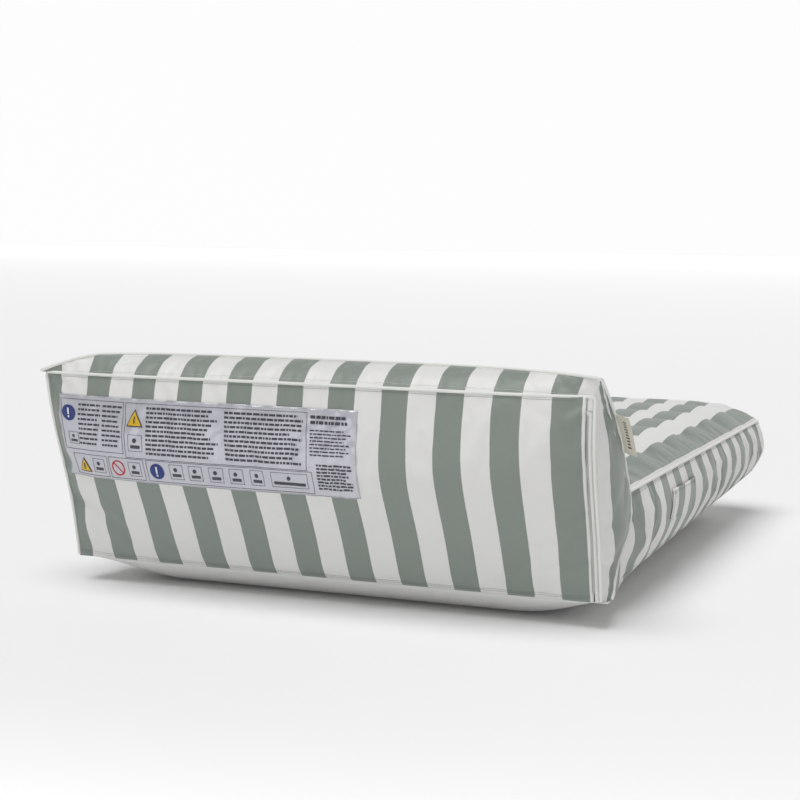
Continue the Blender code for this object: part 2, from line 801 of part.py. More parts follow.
def lower_corner(half, y, tuck, side):
    """The chamber's lower corner on one side, from its flat side in to the middle."""
    start = down_boxing(y, FLAT_LOW)
    turn = down_boxing(y, 0.85)
    low = belly(half - 0.07, y) - BELLY_DROP + CHAMBER_GAP + FABRIC
    middle = belly(half - 0.17, y) - BELLY_DROP + CHAMBER_GAP + FABRIC
    return [
        (side * half, start),
        (side * (half - 0.019), mix(turn, start, tuck)),
        (side * (half - 0.07), mix(low, start, tuck)),
        (side * (half - 0.17), mix(middle, start, tuck)),
    ]


def closed_loft(name, rings, look):
    """A thin-walled chamber lofted through closed rings of points."""
    mesh = bmesh.new()
    loops = [[mesh.verts.new(point) for point in ring] for ring in rings]
    count = len(loops[0])
    for near, far in zip(loops, loops[1:]):
        for k in range(count):
            after = (k + 1) % count
            mesh.faces.new((near[k], near[after], far[after], far[k]))
    mesh.faces.new(loops[0])
    mesh.faces.new(loops[-1])
    bmesh.ops.recalc_face_normals(mesh, faces=mesh.faces[:])
    made = add_object(name, mesh_from(mesh, name), look)
    wall = made.modifiers.new("film", "SOLIDIFY")
    wall.thickness = FILM_WALL
    wall.offset = -1
    wall.use_even_offset = True
    return made


def cut_port(chamber, matrix):
    """A round hole through the chamber's wall, and no further, for a valve's neck."""
    radius = VALVE_NECK + VALVE_WALL + 0.0005
    outline = []
    for step in range(20):
        turn = math.tau * step / 20
        outline.append((radius * math.cos(turn), radius * math.sin(turn)))
    start = matrix @ Matrix.Translation((0, 0, -0.006))
    port = prism(f"{chamber.name}_port_cutter", outline, 0.012, start, VINYL, cutters)
    boolean(chamber, hide_cutter(port))


def make_seat_chamber():
    rings = []
    for turn in (90, 50, 20):
        y = CHAMBER_REAR + CHAMBER_ROUND - CHAMBER_ROUND * math.sin(math.radians(turn))
        rings.append(chamber_ring(y, 1 - math.cos(math.radians(turn))))
    rings.append(chamber_ring(RECLINE_REACH * 0.75, 0))
    steps = 3
    last = CHAMBER_END - CHAMBER_ROUND
    for channel in range(CHANNEL_COUNT):
        for step in range(steps):
            y = RECLINE_REACH + CHANNEL * (channel + step / steps)
            if y < last - 0.01:
                rings.append(chamber_ring(y, 0))
    for turn in (0, 35, 65, 90):
        y = last + CHAMBER_ROUND * math.sin(math.radians(turn))
        rings.append(chamber_ring(y, 1 - math.cos(math.radians(turn))))
    chamber = closed_loft("seat_bladder", rings, VINYL)
    cut_port(chamber, seat_valve_frame())
    for number in range(1, CHANNEL_COUNT):
        make_seat_baffle(number, RECLINE_REACH + CHANNEL * number)


def make_seat_baffle(number, y):
    """Upright strip under one valley, short of the sides so that air passes round its ends."""
    reach = chamber_half(y) - 0.175
    top = []
    for x in (-reach, -reach / 2, 0, reach / 2, reach):
        top.append((x, chamber_top(x, y) - FILM_WALL - 0.0030))
    low_edge = belly(chamber_half(y) - 0.17, y) - BELLY_DROP + CHAMBER_GAP + FABRIC
    low_edge += FILM_WALL + 0.0010
    outline = [(-reach, low_edge), (reach, low_edge)] + list(reversed(top))
    matrix = frame_at(place(0, y + FILM_WALL / 2, 0), (1, 0, 0), (0, 0, 1))
    if matrix.col[2].y > 0:
        matrix = frame_at(place(0, y - FILM_WALL / 2, 0), (1, 0, 0), (0, 0, 1))
    prism(f"seat_baffle_{number}", outline, FILM_WALL, matrix, VINYL)


BACK_CHAMBER_HALF = HALF - 0.020
BACK_FIT = 0.90


def back_section(x):
    """(y, z) points round the backrest's section at x, drawn in from the cover."""
    points = []
    for share in (0.46, 0.60, 0.74, 0.87, 0.97):
        points.append(Vector(rear_point(x, share, REAR_LEFT, REAR_RIGHT)))
    rear, front, foot = (Vector(f(x)) for f in (rear_seam, front_seam, junction))
    full = BAND_BULGE * (1 - abs(x / HALF) ** 4)
    points.append(mix(rear, front, 0.5) + Vector((-0.6, 0.8)) * full)
    points.append(mix(rear, front, 0.95))
    across = (foot - front).normalized()
    forward = Vector((-across.y, across.x))
    full = FRONT_BULGE * (1 - abs(x / HALF) ** 4)
    for t in (0.2, 0.45, 0.7, 0.9):
        points.append(mix(front, foot, t) + forward * full * math.sin(math.pi * t))
    points.append(Vector((0.78 * RECLINE_REACH, UNDER_BACK + 0.006)))
    points.append(Vector((0.25 * RECLINE_REACH, UNDER_BACK + 0.006)))
    centre = sum(points, Vector((0, 0))) / len(points)
    return [centre + (point - centre) * BACK_FIT for point in points]


def back_ring(x, share=1.0):
    section = back_section(x)
    centre = sum(section, Vector((0, 0))) / len(section)
    return [place(x, *(centre + (point - centre) * share)) for point in section]


def make_back_chamber():
    rings = []
    shares = (-1.0, -0.985, -0.94, -0.8, -0.55, -0.27, 0.0, 0.27, 0.55, 0.8, 0.94, 0.985, 1.0)
    for s in shares:
        tuck = max(0.0, (abs(s) - 0.94) / 0.06)
        rings.append(back_ring(s * BACK_CHAMBER_HALF, 1 - 0.14 * tuck**2))
    chamber = closed_loft("back_bladder", rings, VINYL)
    cut_port(chamber, back_valve_frame())
    for number, x in ((1, -COVER_WIDTH / 6), (2, COVER_WIDTH / 6)):
        section = back_section(x)
        centre = sum(section, Vector((0, 0))) / len(section)
        outline = [centre + (point - centre) * 0.88 for point in section]
        half = Matrix.Translation((x - FILM_WALL / 2, HEM_Y, BELLY_DROP))
        turn = Matrix(((0, 0, 1, 0), (1, 0, 0, 0), (0, 1, 0, 0), (0, 0, 0, 1)))
        prism(f"back_baffle_{number}", [tuple(p) for p in outline], FILM_WALL, half @ turn, VINYL)


# ---------------------------------------------------------------- valves

def outward_frame(origin):
    """Z along +X, the way both valves face."""
    turn = Matrix(((0, 0, 1, 0), (1, 0, 0, 0), (0, 1, 0, 0), (0, 0, 0, 1)))
    return Matrix.Translation(origin) @ turn


def seat_valve_frame():
    z = flap_low(0) + VALVE_ABOVE
    return outward_frame(place(chamber_half(FLAP_CENTRE), FLAP_CENTRE, z))


def back_valve_frame():
    return outward_frame(place(BACK_CHAMBER_HALF, BACK_VALVE_Y, BACK_VALVE_Z))


def make_valve(name, matrix):
    """Welded ring, screwed-in body, one-way membrane and screw cap, from the chamber outwards."""
    bore = VALVE_NECK
    face = FIT_GAP + VALVE_SHEET
    ring = [
        (VALVE_FLANGE, face), (VALVE_FLANGE, FIT_GAP), (bore + VALVE_WALL, FIT_GAP),
        (bore + VALVE_WALL, -VALVE_DEPTH), (bore, -VALVE_DEPTH), (bore, face),
    ]
    turned(f"{name}_valve_base", ring, matrix, VALVE)
    outer = bore - VALVE_RUNNING
    lip = face + FIT_GAP + 0.0009
    floor = -VALVE_DEPTH + 0.0030
    inner = outer - 0.0027
    body = [
        (CAP_RADIUS + 0.0025, lip), (CAP_RADIUS + 0.0025, face + FIT_GAP), (outer, face + FIT_GAP),
        (outer, floor), (inner - 0.0030, floor), (inner - 0.0030, floor + 0.0012),
        (inner, floor + 0.0012), (inner, lip),
    ]
    turned(f"{name}_valve_body", body, matrix, VALVE)
    under = floor - FIT_GAP
    leaf = [(0, under), (outer - 0.0008, under), (outer - 0.0008, under - 0.0008), (0, under - 0.0008)]
    turned(f"{name}_valve_membrane", leaf, matrix, VALVE, 16)
    plug = inner - VALVE_RUNNING
    seat = lip + FIT_GAP
    cap = [
        (0, seat + 0.0011), (CAP_RADIUS, seat + 0.0011), (CAP_RADIUS, seat), (plug, seat),
        (plug, -0.0030), (plug - 0.0012, -0.0030), (plug - 0.0012, seat - 0.0002), (0, seat - 0.0002),
    ]
    made = turned(f"{name}_valve_cap", cap, matrix, VALVE)
    grip = rectangle(-CAP_RADIUS * 0.7, CAP_RADIUS * 0.7, -0.0011, 0.0011)
    start = matrix @ Matrix.Translation((0, 0, seat + 0.0006))
    bar = prism(f"{name}_grip_cutter", grip, 0.0005 + CAP_GRIP, start, VALVE, cutters)
    boolean(made, hide_cutter(bar), "UNION")


# ---------------------------------------------------------------- labels

def make_labels():
    rows = []
    shares = np.linspace(*LABEL_HEIGHTS, 6)
    for share in shares:
        row = []
        for x in np.linspace(*LABEL_SPAN, 13):
            y, z = rear_point(x, share, REAR_LEFT, REAR_RIGHT)
            row.append(place(x, y - LABEL_STAND - LABEL_FILM, z))
        rows.append(row)
    sheet("care_label", rows, SILVER, LABEL_FILM)

    reach = Vector(TAG_WAY).normalized()
    rows = []
    for share in np.linspace(*TAG_BASE, 4):
        base = place(HALF, *gusset_front(share))
        near = PIPING_RADIUS + 0.0022
        rows.append([base + reach * mix(near, TAG_REACH, t) for t in (0.0, 0.5, 1.0)])
    sheet("side_tag", rows, COTTON, TAG_THICKNESS)


# ---------------------------------------------------------------- assembly

make_rear_panel()
make_top_band()
make_back_front()
make_gusset("gusset_right", 1)
make_gusset("gusset_left", -1)
make_seat_panel()
make_boxing()
make_bottom_panel()
make_pipings()
make_zip()
make_flap()
make_seat_chamber()
make_back_chamber()
make_valve("seat", seat_valve_frame())
make_valve("back", back_valve_frame())
make_labels()
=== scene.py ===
import math
import random

import bmesh
import bpy
import numpy as np
from mathutils import Matrix, Vector


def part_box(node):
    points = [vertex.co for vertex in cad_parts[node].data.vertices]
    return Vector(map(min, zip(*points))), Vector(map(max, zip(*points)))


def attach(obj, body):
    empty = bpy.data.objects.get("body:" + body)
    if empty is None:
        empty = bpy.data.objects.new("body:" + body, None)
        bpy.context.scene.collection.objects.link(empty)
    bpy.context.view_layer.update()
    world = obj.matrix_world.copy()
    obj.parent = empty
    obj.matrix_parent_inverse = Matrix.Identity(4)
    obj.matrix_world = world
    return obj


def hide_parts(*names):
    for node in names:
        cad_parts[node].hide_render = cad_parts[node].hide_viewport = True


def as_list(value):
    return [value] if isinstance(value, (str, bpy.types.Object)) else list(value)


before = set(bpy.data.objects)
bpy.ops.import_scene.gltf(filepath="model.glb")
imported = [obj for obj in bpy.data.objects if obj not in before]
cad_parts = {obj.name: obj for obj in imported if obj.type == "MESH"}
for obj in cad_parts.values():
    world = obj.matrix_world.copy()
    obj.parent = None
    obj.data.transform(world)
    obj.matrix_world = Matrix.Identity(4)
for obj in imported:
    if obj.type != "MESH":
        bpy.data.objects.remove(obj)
scene = bpy.context.scene
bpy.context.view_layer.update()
coverBody, flapBody = "cover_body", "valve_flap_body"


# Seam lines of the chair, measured from the middle of the rear hem
chair = {
    "backHeight": 0.283, "backLean": 0.085, "endSwing": 0.035,
    "bandRise": 0.030, "bandDepth": 0.040,
    "seatHeight": 0.132, "reclineReach": 0.100, "hemRise": 0.033,
    "hemInset": 0.010, "footCorner": 0.050, "hemEnd": 0.014, "hemStart": -0.004,
    "channels": 8, "pipingRadius": 0.003,
    "stripe": 0.040,  # printed stripe, with a repeat of twice this
}

backHeight, seatHeight, footCorner = chair["backHeight"], chair["seatHeight"], chair["footCorner"]
hemInset, hemStart, hemEnd, stripe = (chair[name] for name in ("hemInset", "hemStart", "hemEnd", "stripe"))
pipingLow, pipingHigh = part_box("seat_piping")
half = pipingHigh[0] - chair["pipingRadius"]
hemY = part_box("bottom_panel")[0][1] + 0.002
hemZ = pipingLow[2] + chair["pipingRadius"] - seatHeight
coverLength = pipingHigh[1] - chair["pipingRadius"] - hemY
channel = (coverLength - chair["reclineReach"]) / chair["channels"]
frontTop = backHeight + chair["bandRise"]
cornerTuck = half - (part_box("rear_piping")[1][0] - chair["pipingRadius"])  # zip corner, inboard of the side
zipX = (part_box("zip_coil_rear")[1][0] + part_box("zip_coil_side")[0][0]) / 2


# the far top corner, and how the upright seams and the hem bow under air
corner = {
    "flare": 0.026, "flareFrom": 0.34, "flareReach": 0.085, "flareDepth": 0.16,
    "pinch": 0.9, "pinchFrom": 0.35, "pinchReach": 0.075,
    "zipBow": 0.016, "farBow": 0.012, "hemSag": 0.010,
}


def clamp(t):
    return min(max(t, 0.0), 1.0)


def mix(a, b, t):
    return a + (b - a) * t


def ease(t):
    t = clamp(t)
    return t * t * (3 - 2 * t)


def settle(t):
    t = clamp(t)
    return t * (2 - t)


def arch(t):
    return math.sin(math.pi * t)


def hemSag(y, z):
    # the rear hem hangs a little below the line of its ends
    return corner["hemSag"] * (1 - ease(z / 0.10)) * (1 - ease((y + 0.004) / 0.20))


def place(x, y, z):
    # the far top corner stands out, and the front seam is pinched down to meet it there
    rise = min(max(z / backHeight, 0.0), 1.1)
    left = clamp((-x - corner["flareFrom"]) / corner["flareReach"])
    moved = x - corner["flare"] * left * rise**2.2 * (1 - ease(y / corner["flareDepth"]))
    seam = backHeight - 0.003
    if z > seam:
        end = clamp((-x - corner["pinchFrom"]) / corner["pinchReach"])
        z = seam + (z - seam) * (1 - corner["pinch"] * end**1.6)
    return Vector((moved, hemY + y, hemZ + z - hemSag(y, z)))


def edgeBow(share, side):
    # air pushes the upright seams of the rear panel back between their ends
    most = corner["zipBow"] if side > 0 else corner["farBow"]
    return most * arch(clamp(share) ** 1.9)


def bowedRear(share, side):
    return gussetRear(share) - Vector((edgeBow(share, side), 0))


def spline(points, share):
    spot = clamp(share) * (len(points) - 1)
    k = min(int(spot), len(points) - 2)
    t = spot - k
    here, there = points[k], points[k + 1]
    before = points[k - 1] if k > 0 else 2 * here - there
    after = points[k + 2] if k + 2 < len(points) else 2 * there - here
    return 0.5 * (
        2 * here
        + (there - before) * t
        + (2 * before - 5 * here + 4 * there - after) * t**2
        + (3 * here - 3 * there + after - before) * t**3
    )


def rearSeam(x):
    s = x / half
    return Vector((-chair["backLean"] + chair["endSwing"] * s**4, backHeight - 0.003 * s * s))


def frontSeam(x):
    s = x / half
    middle = chair["bandDepth"] - chair["backLean"] + 0.018
    ends = chair["backLean"] - chair["endSwing"] + 0.008
    return Vector((middle - (ends + middle) * s**4, frontTop - 0.007 * s**4))


def gussetFront(share):
    top = frontSeam(half)
    reach, height = chair["reclineReach"], seatHeight
    rise = top[1] - height
    return spline([
        Vector((hemEnd, 0.0)),
        Vector((0.45 * reach, 0.34 * height)),
        Vector((0.98 * reach, 0.65 * height)),
        Vector((0.98 * reach, height)),
        Vector((0.22 * reach, height + 0.62 * rise)),
        top,
    ], share)


def gussetRear(share):
    return mix(Vector((hemStart, 0.0)), rearSeam(half), share)


def tucked(x, share=1.0):
    return x - cornerTuck * share * ease((x / half - 0.75) / 0.25)


def hemHeight(y):
    return chair["hemRise"] * max(y, 0) / coverLength


def hemHalf(y):
    return half - hemInset * ease(y / 0.10)


def seatHalf(y, widest, end, corner):
    past = y - (end - corner)
    if past <= 0:
        return widest
    return widest - corner + math.sqrt(max(corner**2 - past**2, 0.0))


def junction(x):
    lift = 1 - abs(x / half) ** 3
    return Vector((chair["reclineReach"] + 0.010 * lift, seatHeight + 0.014 * lift))

def shares(count):
    return np.linspace(0, 1, count)


def linear(code):
    # sRGB hex to the linear values that shaders take
    found = []
    for k in (1, 3, 5):
        value = int(code[k:k + 2], 16) / 255
        found.append(value / 12.92 if value <= 0.04045 else ((value + 0.055) / 1.055) ** 2.4)
    return (*found, 1.0)


def addNode(tree, kind, links=None, out=0, **settings):
    # makes a node and gives back one of its outputs
    made = tree.nodes.new(kind)
    for name, value in settings.items():
        setattr(made, name, value)
    for socket, value in (links or {}).items():
        if isinstance(value, bpy.types.NodeSocket):
            tree.links.new(value, made.inputs[socket])
        else:
            made.inputs[socket].default_value = value
    return made.outputs[out] if made.outputs else None


def newMaterial(name, roughness, **sockets):
    made = bpy.data.materials.new(name)
    made.use_nodes = True
    shader = made.node_tree.nodes["Principled BSDF"]
    shader.inputs["Roughness"].default_value = roughness
    for socket, value in sockets.items():
        shader.inputs[socket].default_value = value
    return made, made.node_tree, shader


def sums(tree, operation, a, b=0.0):
    return addNode(tree, "ShaderNodeMath", {0: a, 1: b}, operation=operation)


def noise(tree, where, scale, detail, **more):
    return addNode(tree, "ShaderNodeTexNoise", {"Vector": where, "Scale": scale, "Detail": detail, **more})


def blend(tree, factor, code, shade):
    # between two hex colours or colour sockets
    first, second = (linear(end) if isinstance(end, str) else end for end in (code, shade))
    return addNode(tree, "ShaderNodeMix", {"Factor": factor, 6: first, 7: second}, 2, data_type="RGBA")


def bump(tree, height, strength, distance, **more):
    return addNode(tree, "ShaderNodeBump", {
        "Height": height, "Strength": strength, "Distance": distance, **more})


def finishLook(tree, shader, colour, normal):
    tree.links.new(colour, shader.inputs["Base Color"])
    tree.links.new(normal, shader.inputs["Normal"])


def weaveHeight(tree, vector, threadPitch):
    # plain weave: warp and weft swap over and under at every thread
    warp, weft = (sums(tree, "SINE", sums(tree, "MULTIPLY", addNode(
        tree, "ShaderNodeSeparateXYZ", {0: vector}, k), math.pi / threadPitch)) for k in (0, 1))
    return sums(tree, "MULTIPLY", warp, weft)


clothLook = {
    "green": "#878f88", "greenShade": "#818982", "white": "#e4e4e2", "whiteShade": "#dedddb",
    "threadPitch": 0.0011,  # real threads are about 0.5 mm apart, drawn coarser so that they show
    "weaveDepth": 0.00010, "edgeBlur": 0.0004, "roughness": 0.48, "sheen": 0.22,
}


def clothMaterial(name, striped):
    # coated 600-denier polyester, plain woven and printed: matt with a faint broad sheen
    made, tree, shader = newMaterial(name, clothLook["roughness"], **{
        "Sheen Weight": clothLook["sheen"], "Sheen Roughness": 0.35})
    uv = addNode(tree, "ShaderNodeUVMap", uv_map="cloth")
    where = addNode(tree, "ShaderNodeTexCoord", out="Object")
    mottle, yarn = noise(tree, where, 38.0, 4.0), noise(tree, where, 420.0, 2.0)
    colour = white = blend(tree, mottle, clothLook["white"], clothLook["whiteShade"])
    if striped:
        # green where the share of the repeat is nearer to its first half
        green = blend(tree, yarn, clothLook["green"], clothLook["greenShade"])
        across = addNode(tree, "ShaderNodeSeparateXYZ", {0: uv})
        moved = sums(tree, "ADD", across, sums(tree, "MULTIPLY", yarn, 0.0008))
        period = 2 * stripe
        share = sums(tree, "FRACT", sums(tree, "DIVIDE", moved, period))
        away = sums(tree, "ABSOLUTE", sums(tree, "SUBTRACT", share, 0.25))
        blur = clothLook["edgeBlur"] / period
        edge = addNode(tree, "ShaderNodeMapRange", {
            "Value": away, "From Min": 0.25 - blur, "From Max": 0.25 + blur})
        colour = blend(tree, edge, green, white)
    thread = bump(tree, weaveHeight(tree, uv, clothLook["threadPitch"]), 0.5, clothLook["weaveDepth"])
    crease = noise(tree, where, 14.0, 5.0, Roughness=0.55)
    finishLook(tree, shader, colour, bump(tree, crease, 0.25, 0.004, Normal=thread))
    return made


def simpleCloth(name, code, shade, roughness, grain):
    # woven narrow tape or tape-covered cord: matt, with the threads just visible
    made, tree, shader = newMaterial(name, roughness)
    where = addNode(tree, "ShaderNodeTexCoord", out="Object")
    colour = blend(tree, noise(tree, where, 1 / grain, 3.0), code, shade)
    finishLook(tree, shader, colour, bump(tree, weaveHeight(tree, where, grain), 0.5, 0.0001))
    return made


def filmMaterial(name, code, shade, roughness, metallic, crinkle):
    # extruded or printed film: smooth, with small crinkles that break up its gloss
    made, tree, shader = newMaterial(name, roughness, Metallic=metallic)
    where = addNode(tree, "ShaderNodeTexCoord", out="Object")
    colour = blend(tree, noise(tree, where, 26.0, 4.0), code, shade)
    folds = noise(tree, where, 60.0, 5.0, Distortion=0.6)
    finishLook(tree, shader, colour, bump(tree, folds, 0.6, crinkle))
    return made


stripedCloth = clothMaterial("printedStripedPolyester", True)
whiteCloth = clothMaterial("whiteCoatedPolyester", False)
pipingCloth = simpleCloth("biasTapePolyester", "#e9eae6", "#e0e1dc", 0.6, 0.0012)
threadWhite = simpleCloth("whitePolyesterThread", "#dfe0dc", "#cfd1cc", 0.6, 0.0006)
threadGrey = simpleCloth("greyPolyesterThread", "#7c827b", "#6d736c", 0.7, 0.0006)
zipTapeCloth = simpleCloth("wovenZipTape", "#dddddb", "#d2d2cf", 0.75, 0.0009)
tagCotton = simpleCloth("unbleachedCottonTwill", "#dcd7ca", "#cec9ba", 0.85, 0.0010)
tagInk = simpleCloth("wovenDarkYarn", "#4c4a45", "#3f3d39", 0.8, 0.0006)
hookTape = simpleCloth("hookAndLoopNap", "#c9cac6", "#b4b6b1", 0.95, 0.0007)
silverFilm = filmMaterial("silverPrintedFilm", "#cfcfd6", "#bdbdc7", 0.34, 0.35, 0.0012)
vinylFilm = filmMaterial("calenderedVinylFilm", "#d9dde0", "#cfd4d8", 0.28, 0.0, 0.0015)
valveVinyl = filmMaterial("mouldedSoftVinyl", "#eceeee", "#e2e5e6", 0.42, 0.0, 0.0004)
coilNylon = filmMaterial("mouldedNylonCoil", "#cfcfcc", "#bcbcb9", 0.4, 0.0, 0.0002)
sliderZinc = filmMaterial("lacqueredZincAlloy", "#c8c9ca", "#b9babc", 0.35, 1.0, 0.0002)
printInks = {name: filmMaterial(name + "PrintInk", code, shade, roughness, 0.0, 0.0005)
             for name, code, shade, roughness in (
                 ("black", "#3a3b42", "#46474f", 0.5), ("blue", "#1b2f74", "#20357c", 0.45),
                 ("yellow", "#d9b422", "#cfa91b", 0.45), ("red", "#bf2430", "#b21f2b", 0.45),
                 ("white", "#e6e6ea", "#dcdce1", 0.45))}
print("materials made")

inside = place(0, 0, seatHeight / 2)


def link(data, name, *looks):
    made = bpy.data.objects.new(name, data)
    scene.collection.objects.link(made)
    for look in looks:
        data.materials.append(look)
    return made


def meshPiece(name, points, edges, faces, *looks):
    data = bpy.data.meshes.new(name)
    data.from_pydata(points, edges, faces)
    return link(data, name, *looks)


def thin(piece, thickness, offset=-1):
    wall = piece.modifiers.new("thickness", "SOLIDIFY")
    wall.thickness, wall.offset = thickness, offset
    return piece


def take(piece, slot, *nodes, body=coverBody):
    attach(piece, body)
    if nodes:
        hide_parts(*nodes)
    return piece


def clothGrid(name, firsts, seconds, spotAt, look, centre=inside):
    # spotAt gives each point of the sheet and its place on the flat cloth, in metres
    count, wide = len(firsts), len(seconds)
    spots = [spotAt(first, second) for first in firsts for second in seconds]
    points, flat = [tuple(point) for point, _ in spots], [uv for _, uv in spots]
    faces = [(a, a + 1, a + wide + 1, a + wide)
             for j in range(count - 1) for a in range(j * wide, (j + 1) * wide - 1)]
    array, quads = np.array(points), np.array(faces)
    normals = np.cross(array[quads[:, 2]] - array[quads[:, 0]], array[quads[:, 3]] - array[quads[:, 1]])
    if (normals * (array[quads].mean(axis=1) - np.array(centre))).sum() < 0:
        faces = [face[::-1] for face in faces]
    made = meshPiece(name, points, [], faces, look)
    data = made.data
    layer = data.uv_layers.new(name="cloth")
    corners = np.array([loop.vertex_index for loop in data.loops])
    layer.data.foreach_set("uv", np.array(flat)[corners].ravel())
    data.shade_smooth()
    made["rows"], made["wide"] = count, wide
    return made


def readAll(items, field):
    found = np.empty(len(items) * 3)
    items.foreach_get(field, found)
    return found.reshape(-1, 3)


def gridShape(piece):
    # a sheet's points and normals, row by row
    size = (piece["rows"], piece["wide"], 3)
    return (readAll(piece.data.vertices, "co").reshape(size),
            readAll(piece.data.vertex_normals, "vector").reshape(size))


def surfaceAt(points, u, v):
    # point on a grid by shares of its columns and rows
    rows, wide = points.shape[:2]
    a, b = min(max(u, 0), 1) * (wide - 1), min(max(v, 0), 1) * (rows - 1)
    i, j = min(int(a), wide - 2), min(int(b), rows - 2)
    s, t = a - i, b - j
    return mix(mix(points[j, i], points[j, i + 1], s), mix(points[j + 1, i], points[j + 1, i + 1], s), t)


def above(shape, u, v, lift):
    return Vector(surfaceAt(shape[0], u, v)) + Vector(surfaceAt(shape[1], u, v)) * lift


# rear panel of the backrest
rearLook = {"bulge": 0.037, "left": -half, "right": zipX - 0.0013, "stripeShift": 0.04, "height": 0.29}
creaseLook = {
    # soft folds that run in from the ends: end, height share, reach, depth, width, slope
    "runs": ((1, 0.62, 0.16, -0.0030, 0.030, 0.25), (1, 0.42, 0.13, -0.0026, 0.026, 0.10),
             (1, 0.78, 0.20, -0.0024, 0.030, 0.45), (-1, 0.30, 0.10, -0.0030, 0.028, -0.20),
             (-1, 0.52, 0.08, -0.0026, 0.024, 0.15), (1, 0.20, 0.10, -0.0020, 0.022, -0.15)),
    "pucker": 0.0042, "puckerReach": 0.050, "puckerFolds": 11,
}


def creases(x, share):
    found = 0.0
    for end, height, reach, depth, width, slope in creaseLook["runs"]:
        away = (half - end * x) / reach
        if away < 1:
            off = (share - height - slope * away * reach / 0.28) / width
            found += depth * math.exp(-off * off) * (1 - ease(away)) * min(1.0, away * reach / 0.012)
    for end in (-1, 1):
        across, down = half - end * x, (1 - share) * backHeight
        away = math.hypot(across, down)
        turn = math.atan2(down, across + 1e-6)
        fan = math.sin(creaseLook["puckerFolds"] * turn + end) * math.exp(-away / creaseLook["puckerReach"])
        found += creaseLook["pucker"] * fan * min(1.0, min(across, down) / 0.012)
    return found


def rearPoint(x, share):
    left, right = rearLook["left"], rearLook["right"]
    seam = rearSeam(x)
    side = (x - (left + right) / 2) / ((right - left) / 2)
    edge = edgeBow(share, side)
    core = rearLook["bulge"] * arch(share**1.6)
    full = edge + (core - edge) * (1 - abs(side) ** 4.5) + creases(x, share)
    return place(x, mix(hemStart, seam[0], share) - full, seam[1] * share)


def rearSpot(share, x):
    return rearPoint(x, share), (x + rearLook["stripeShift"], share * rearLook["height"])


def ruledPanel(name, first, second, bulge, counts, centre, stripeShift, tuck=0.0):
    # a panel between two seams that run across the chair
    def spotAt(x, t):
        a, b = first(x), second(x)
        across = (b - a).normalized()
        full = bulge * (1 - abs(x / half) ** 4)
        point = mix(a, b, t) + Vector((-across.y, across.x)) * full * arch(t)
        return place(tucked(x, tuck * (1 - t)), *point), (x + stripeShift, t * (b - a).length)
    return clothGrid(name, np.linspace(-half, half, counts[0]), shares(counts[1]), spotAt,
                     stripedCloth, centre)


# leaf-shaped sides of the backrest: a white stripe by the zip and a green one by the piping
gussetLook = {"white": 0.038, "whiteShare": 0.56, "greenFull": 1.06, "greenLeast": 0.5, "bulge": 0.006}


def makeGusset(name, side):
    def spotAt(share, t):
        a, b = bowedRear(share, side), gussetFront(share)
        length = (b - a).length
        white = min(gussetLook["white"], gussetLook["whiteShare"] * length)
        green = max(gussetLook["greenLeast"] * stripe, gussetLook["greenFull"] * (length - white))
        y, z = mix(a, b, t)
        full = gussetLook["bulge"] * arch(t) * arch(min(share * 1.02, 1))
        x = half + full - (cornerTuck * (1 - t) if side > 0 else 0)
        past = t * length - white
        return place(side * x, y, z), (past * (stripe / green if past > 0 else 0.85), z)
    return clothGrid(name, shares(44), shares(21), spotAt, stripedCloth,
                     place(0, 0.03, 0.15))


seatLook = {"crown": 0.031, "valley": 0.006, "join": 0.018, "stripeShift": -0.058}


def seatTop(x, y):
    crown = seatLook["crown"] * settle((half - abs(x)) / 0.085) * settle((coverLength - y) / 0.06)
    phase = (y - chair["reclineReach"]) / channel
    valley = 1 - abs(arch(phase)) ** 0.9
    edge = settle((half - abs(x)) / 0.08) * ease((coverLength - y) / 0.05)
    z = seatHeight + crown - seatLook["valley"] * valley * edge
    join = junction(x)
    return mix(join[1], z, ease((y - join[0]) / seatLook["join"]))


def seatSpot(share, s):
    y = mix(junction(s * half)[0], coverLength, share)
    x = s * seatHalf(y, half, coverLength, footCorner)
    return place(x, y, seatTop(x, y)), (x + seatLook["stripeShift"], y)


def plan(segment, share, widest, start, end, corner):
    if segment in (0, 4):
        side = 1 if segment == 0 else -1
        along = share if segment == 0 else 1 - share
        return side * widest, mix(start, end - corner, along), (side, 0)
    if segment == 2:
        return mix(widest - corner, corner - widest, share), end, (0, 1)
    side = 1 if segment == 1 else -1
    turn = math.radians(90) * (share if segment == 1 else 1 - share)
    away = (side * math.cos(turn), math.sin(turn))
    return side * (widest - corner) + corner * away[0], end - corner + corner * away[1], away


# one strip round both sides and the foot: near side, corner, foot, corner, far side
boxing = {"bulge": 0.018, "join": 0.6, "rows": 20, "steps": (165, 14, 112, 14, 165), "stripeShift": -0.111}


def boxingPoint(segment, share, down):
    join = gussetFront(boxing["join"])
    top = plan(segment, share, half, join.x, coverLength, footCorner)
    low = plan(segment, share, half - hemInset, hemEnd, coverLength - hemInset, footCorner)
    y = mix(top[1], low[1], down)
    along = share if segment == 0 else 1 - share if segment == 4 else 1.0
    z = mix(seatHeight, hemHeight(low[1]), down)
    full = boxing["bulge"] * arch(down)
    lowX = low[0]
    if segment in (0, 4):
        length = coverLength - join.x
        hold = max(0.0, 1 - along * length / 0.14)
        seam = gussetFront(boxing["join"] * (1 - down))
        straight = mix(join, Vector((hemEnd, 0.0)), down)
        y += (seam.x - straight.x) * hold
        z += (seam.y - straight.y) * hold
        lowX = math.copysign(hemHalf(low[1] - hemEnd), top[0])
        full *= ease(along * length / 0.12)
    x = mix(top[0], lowX, down) + top[2][0] * full
    return place(x, y + top[2][1] * full, z)


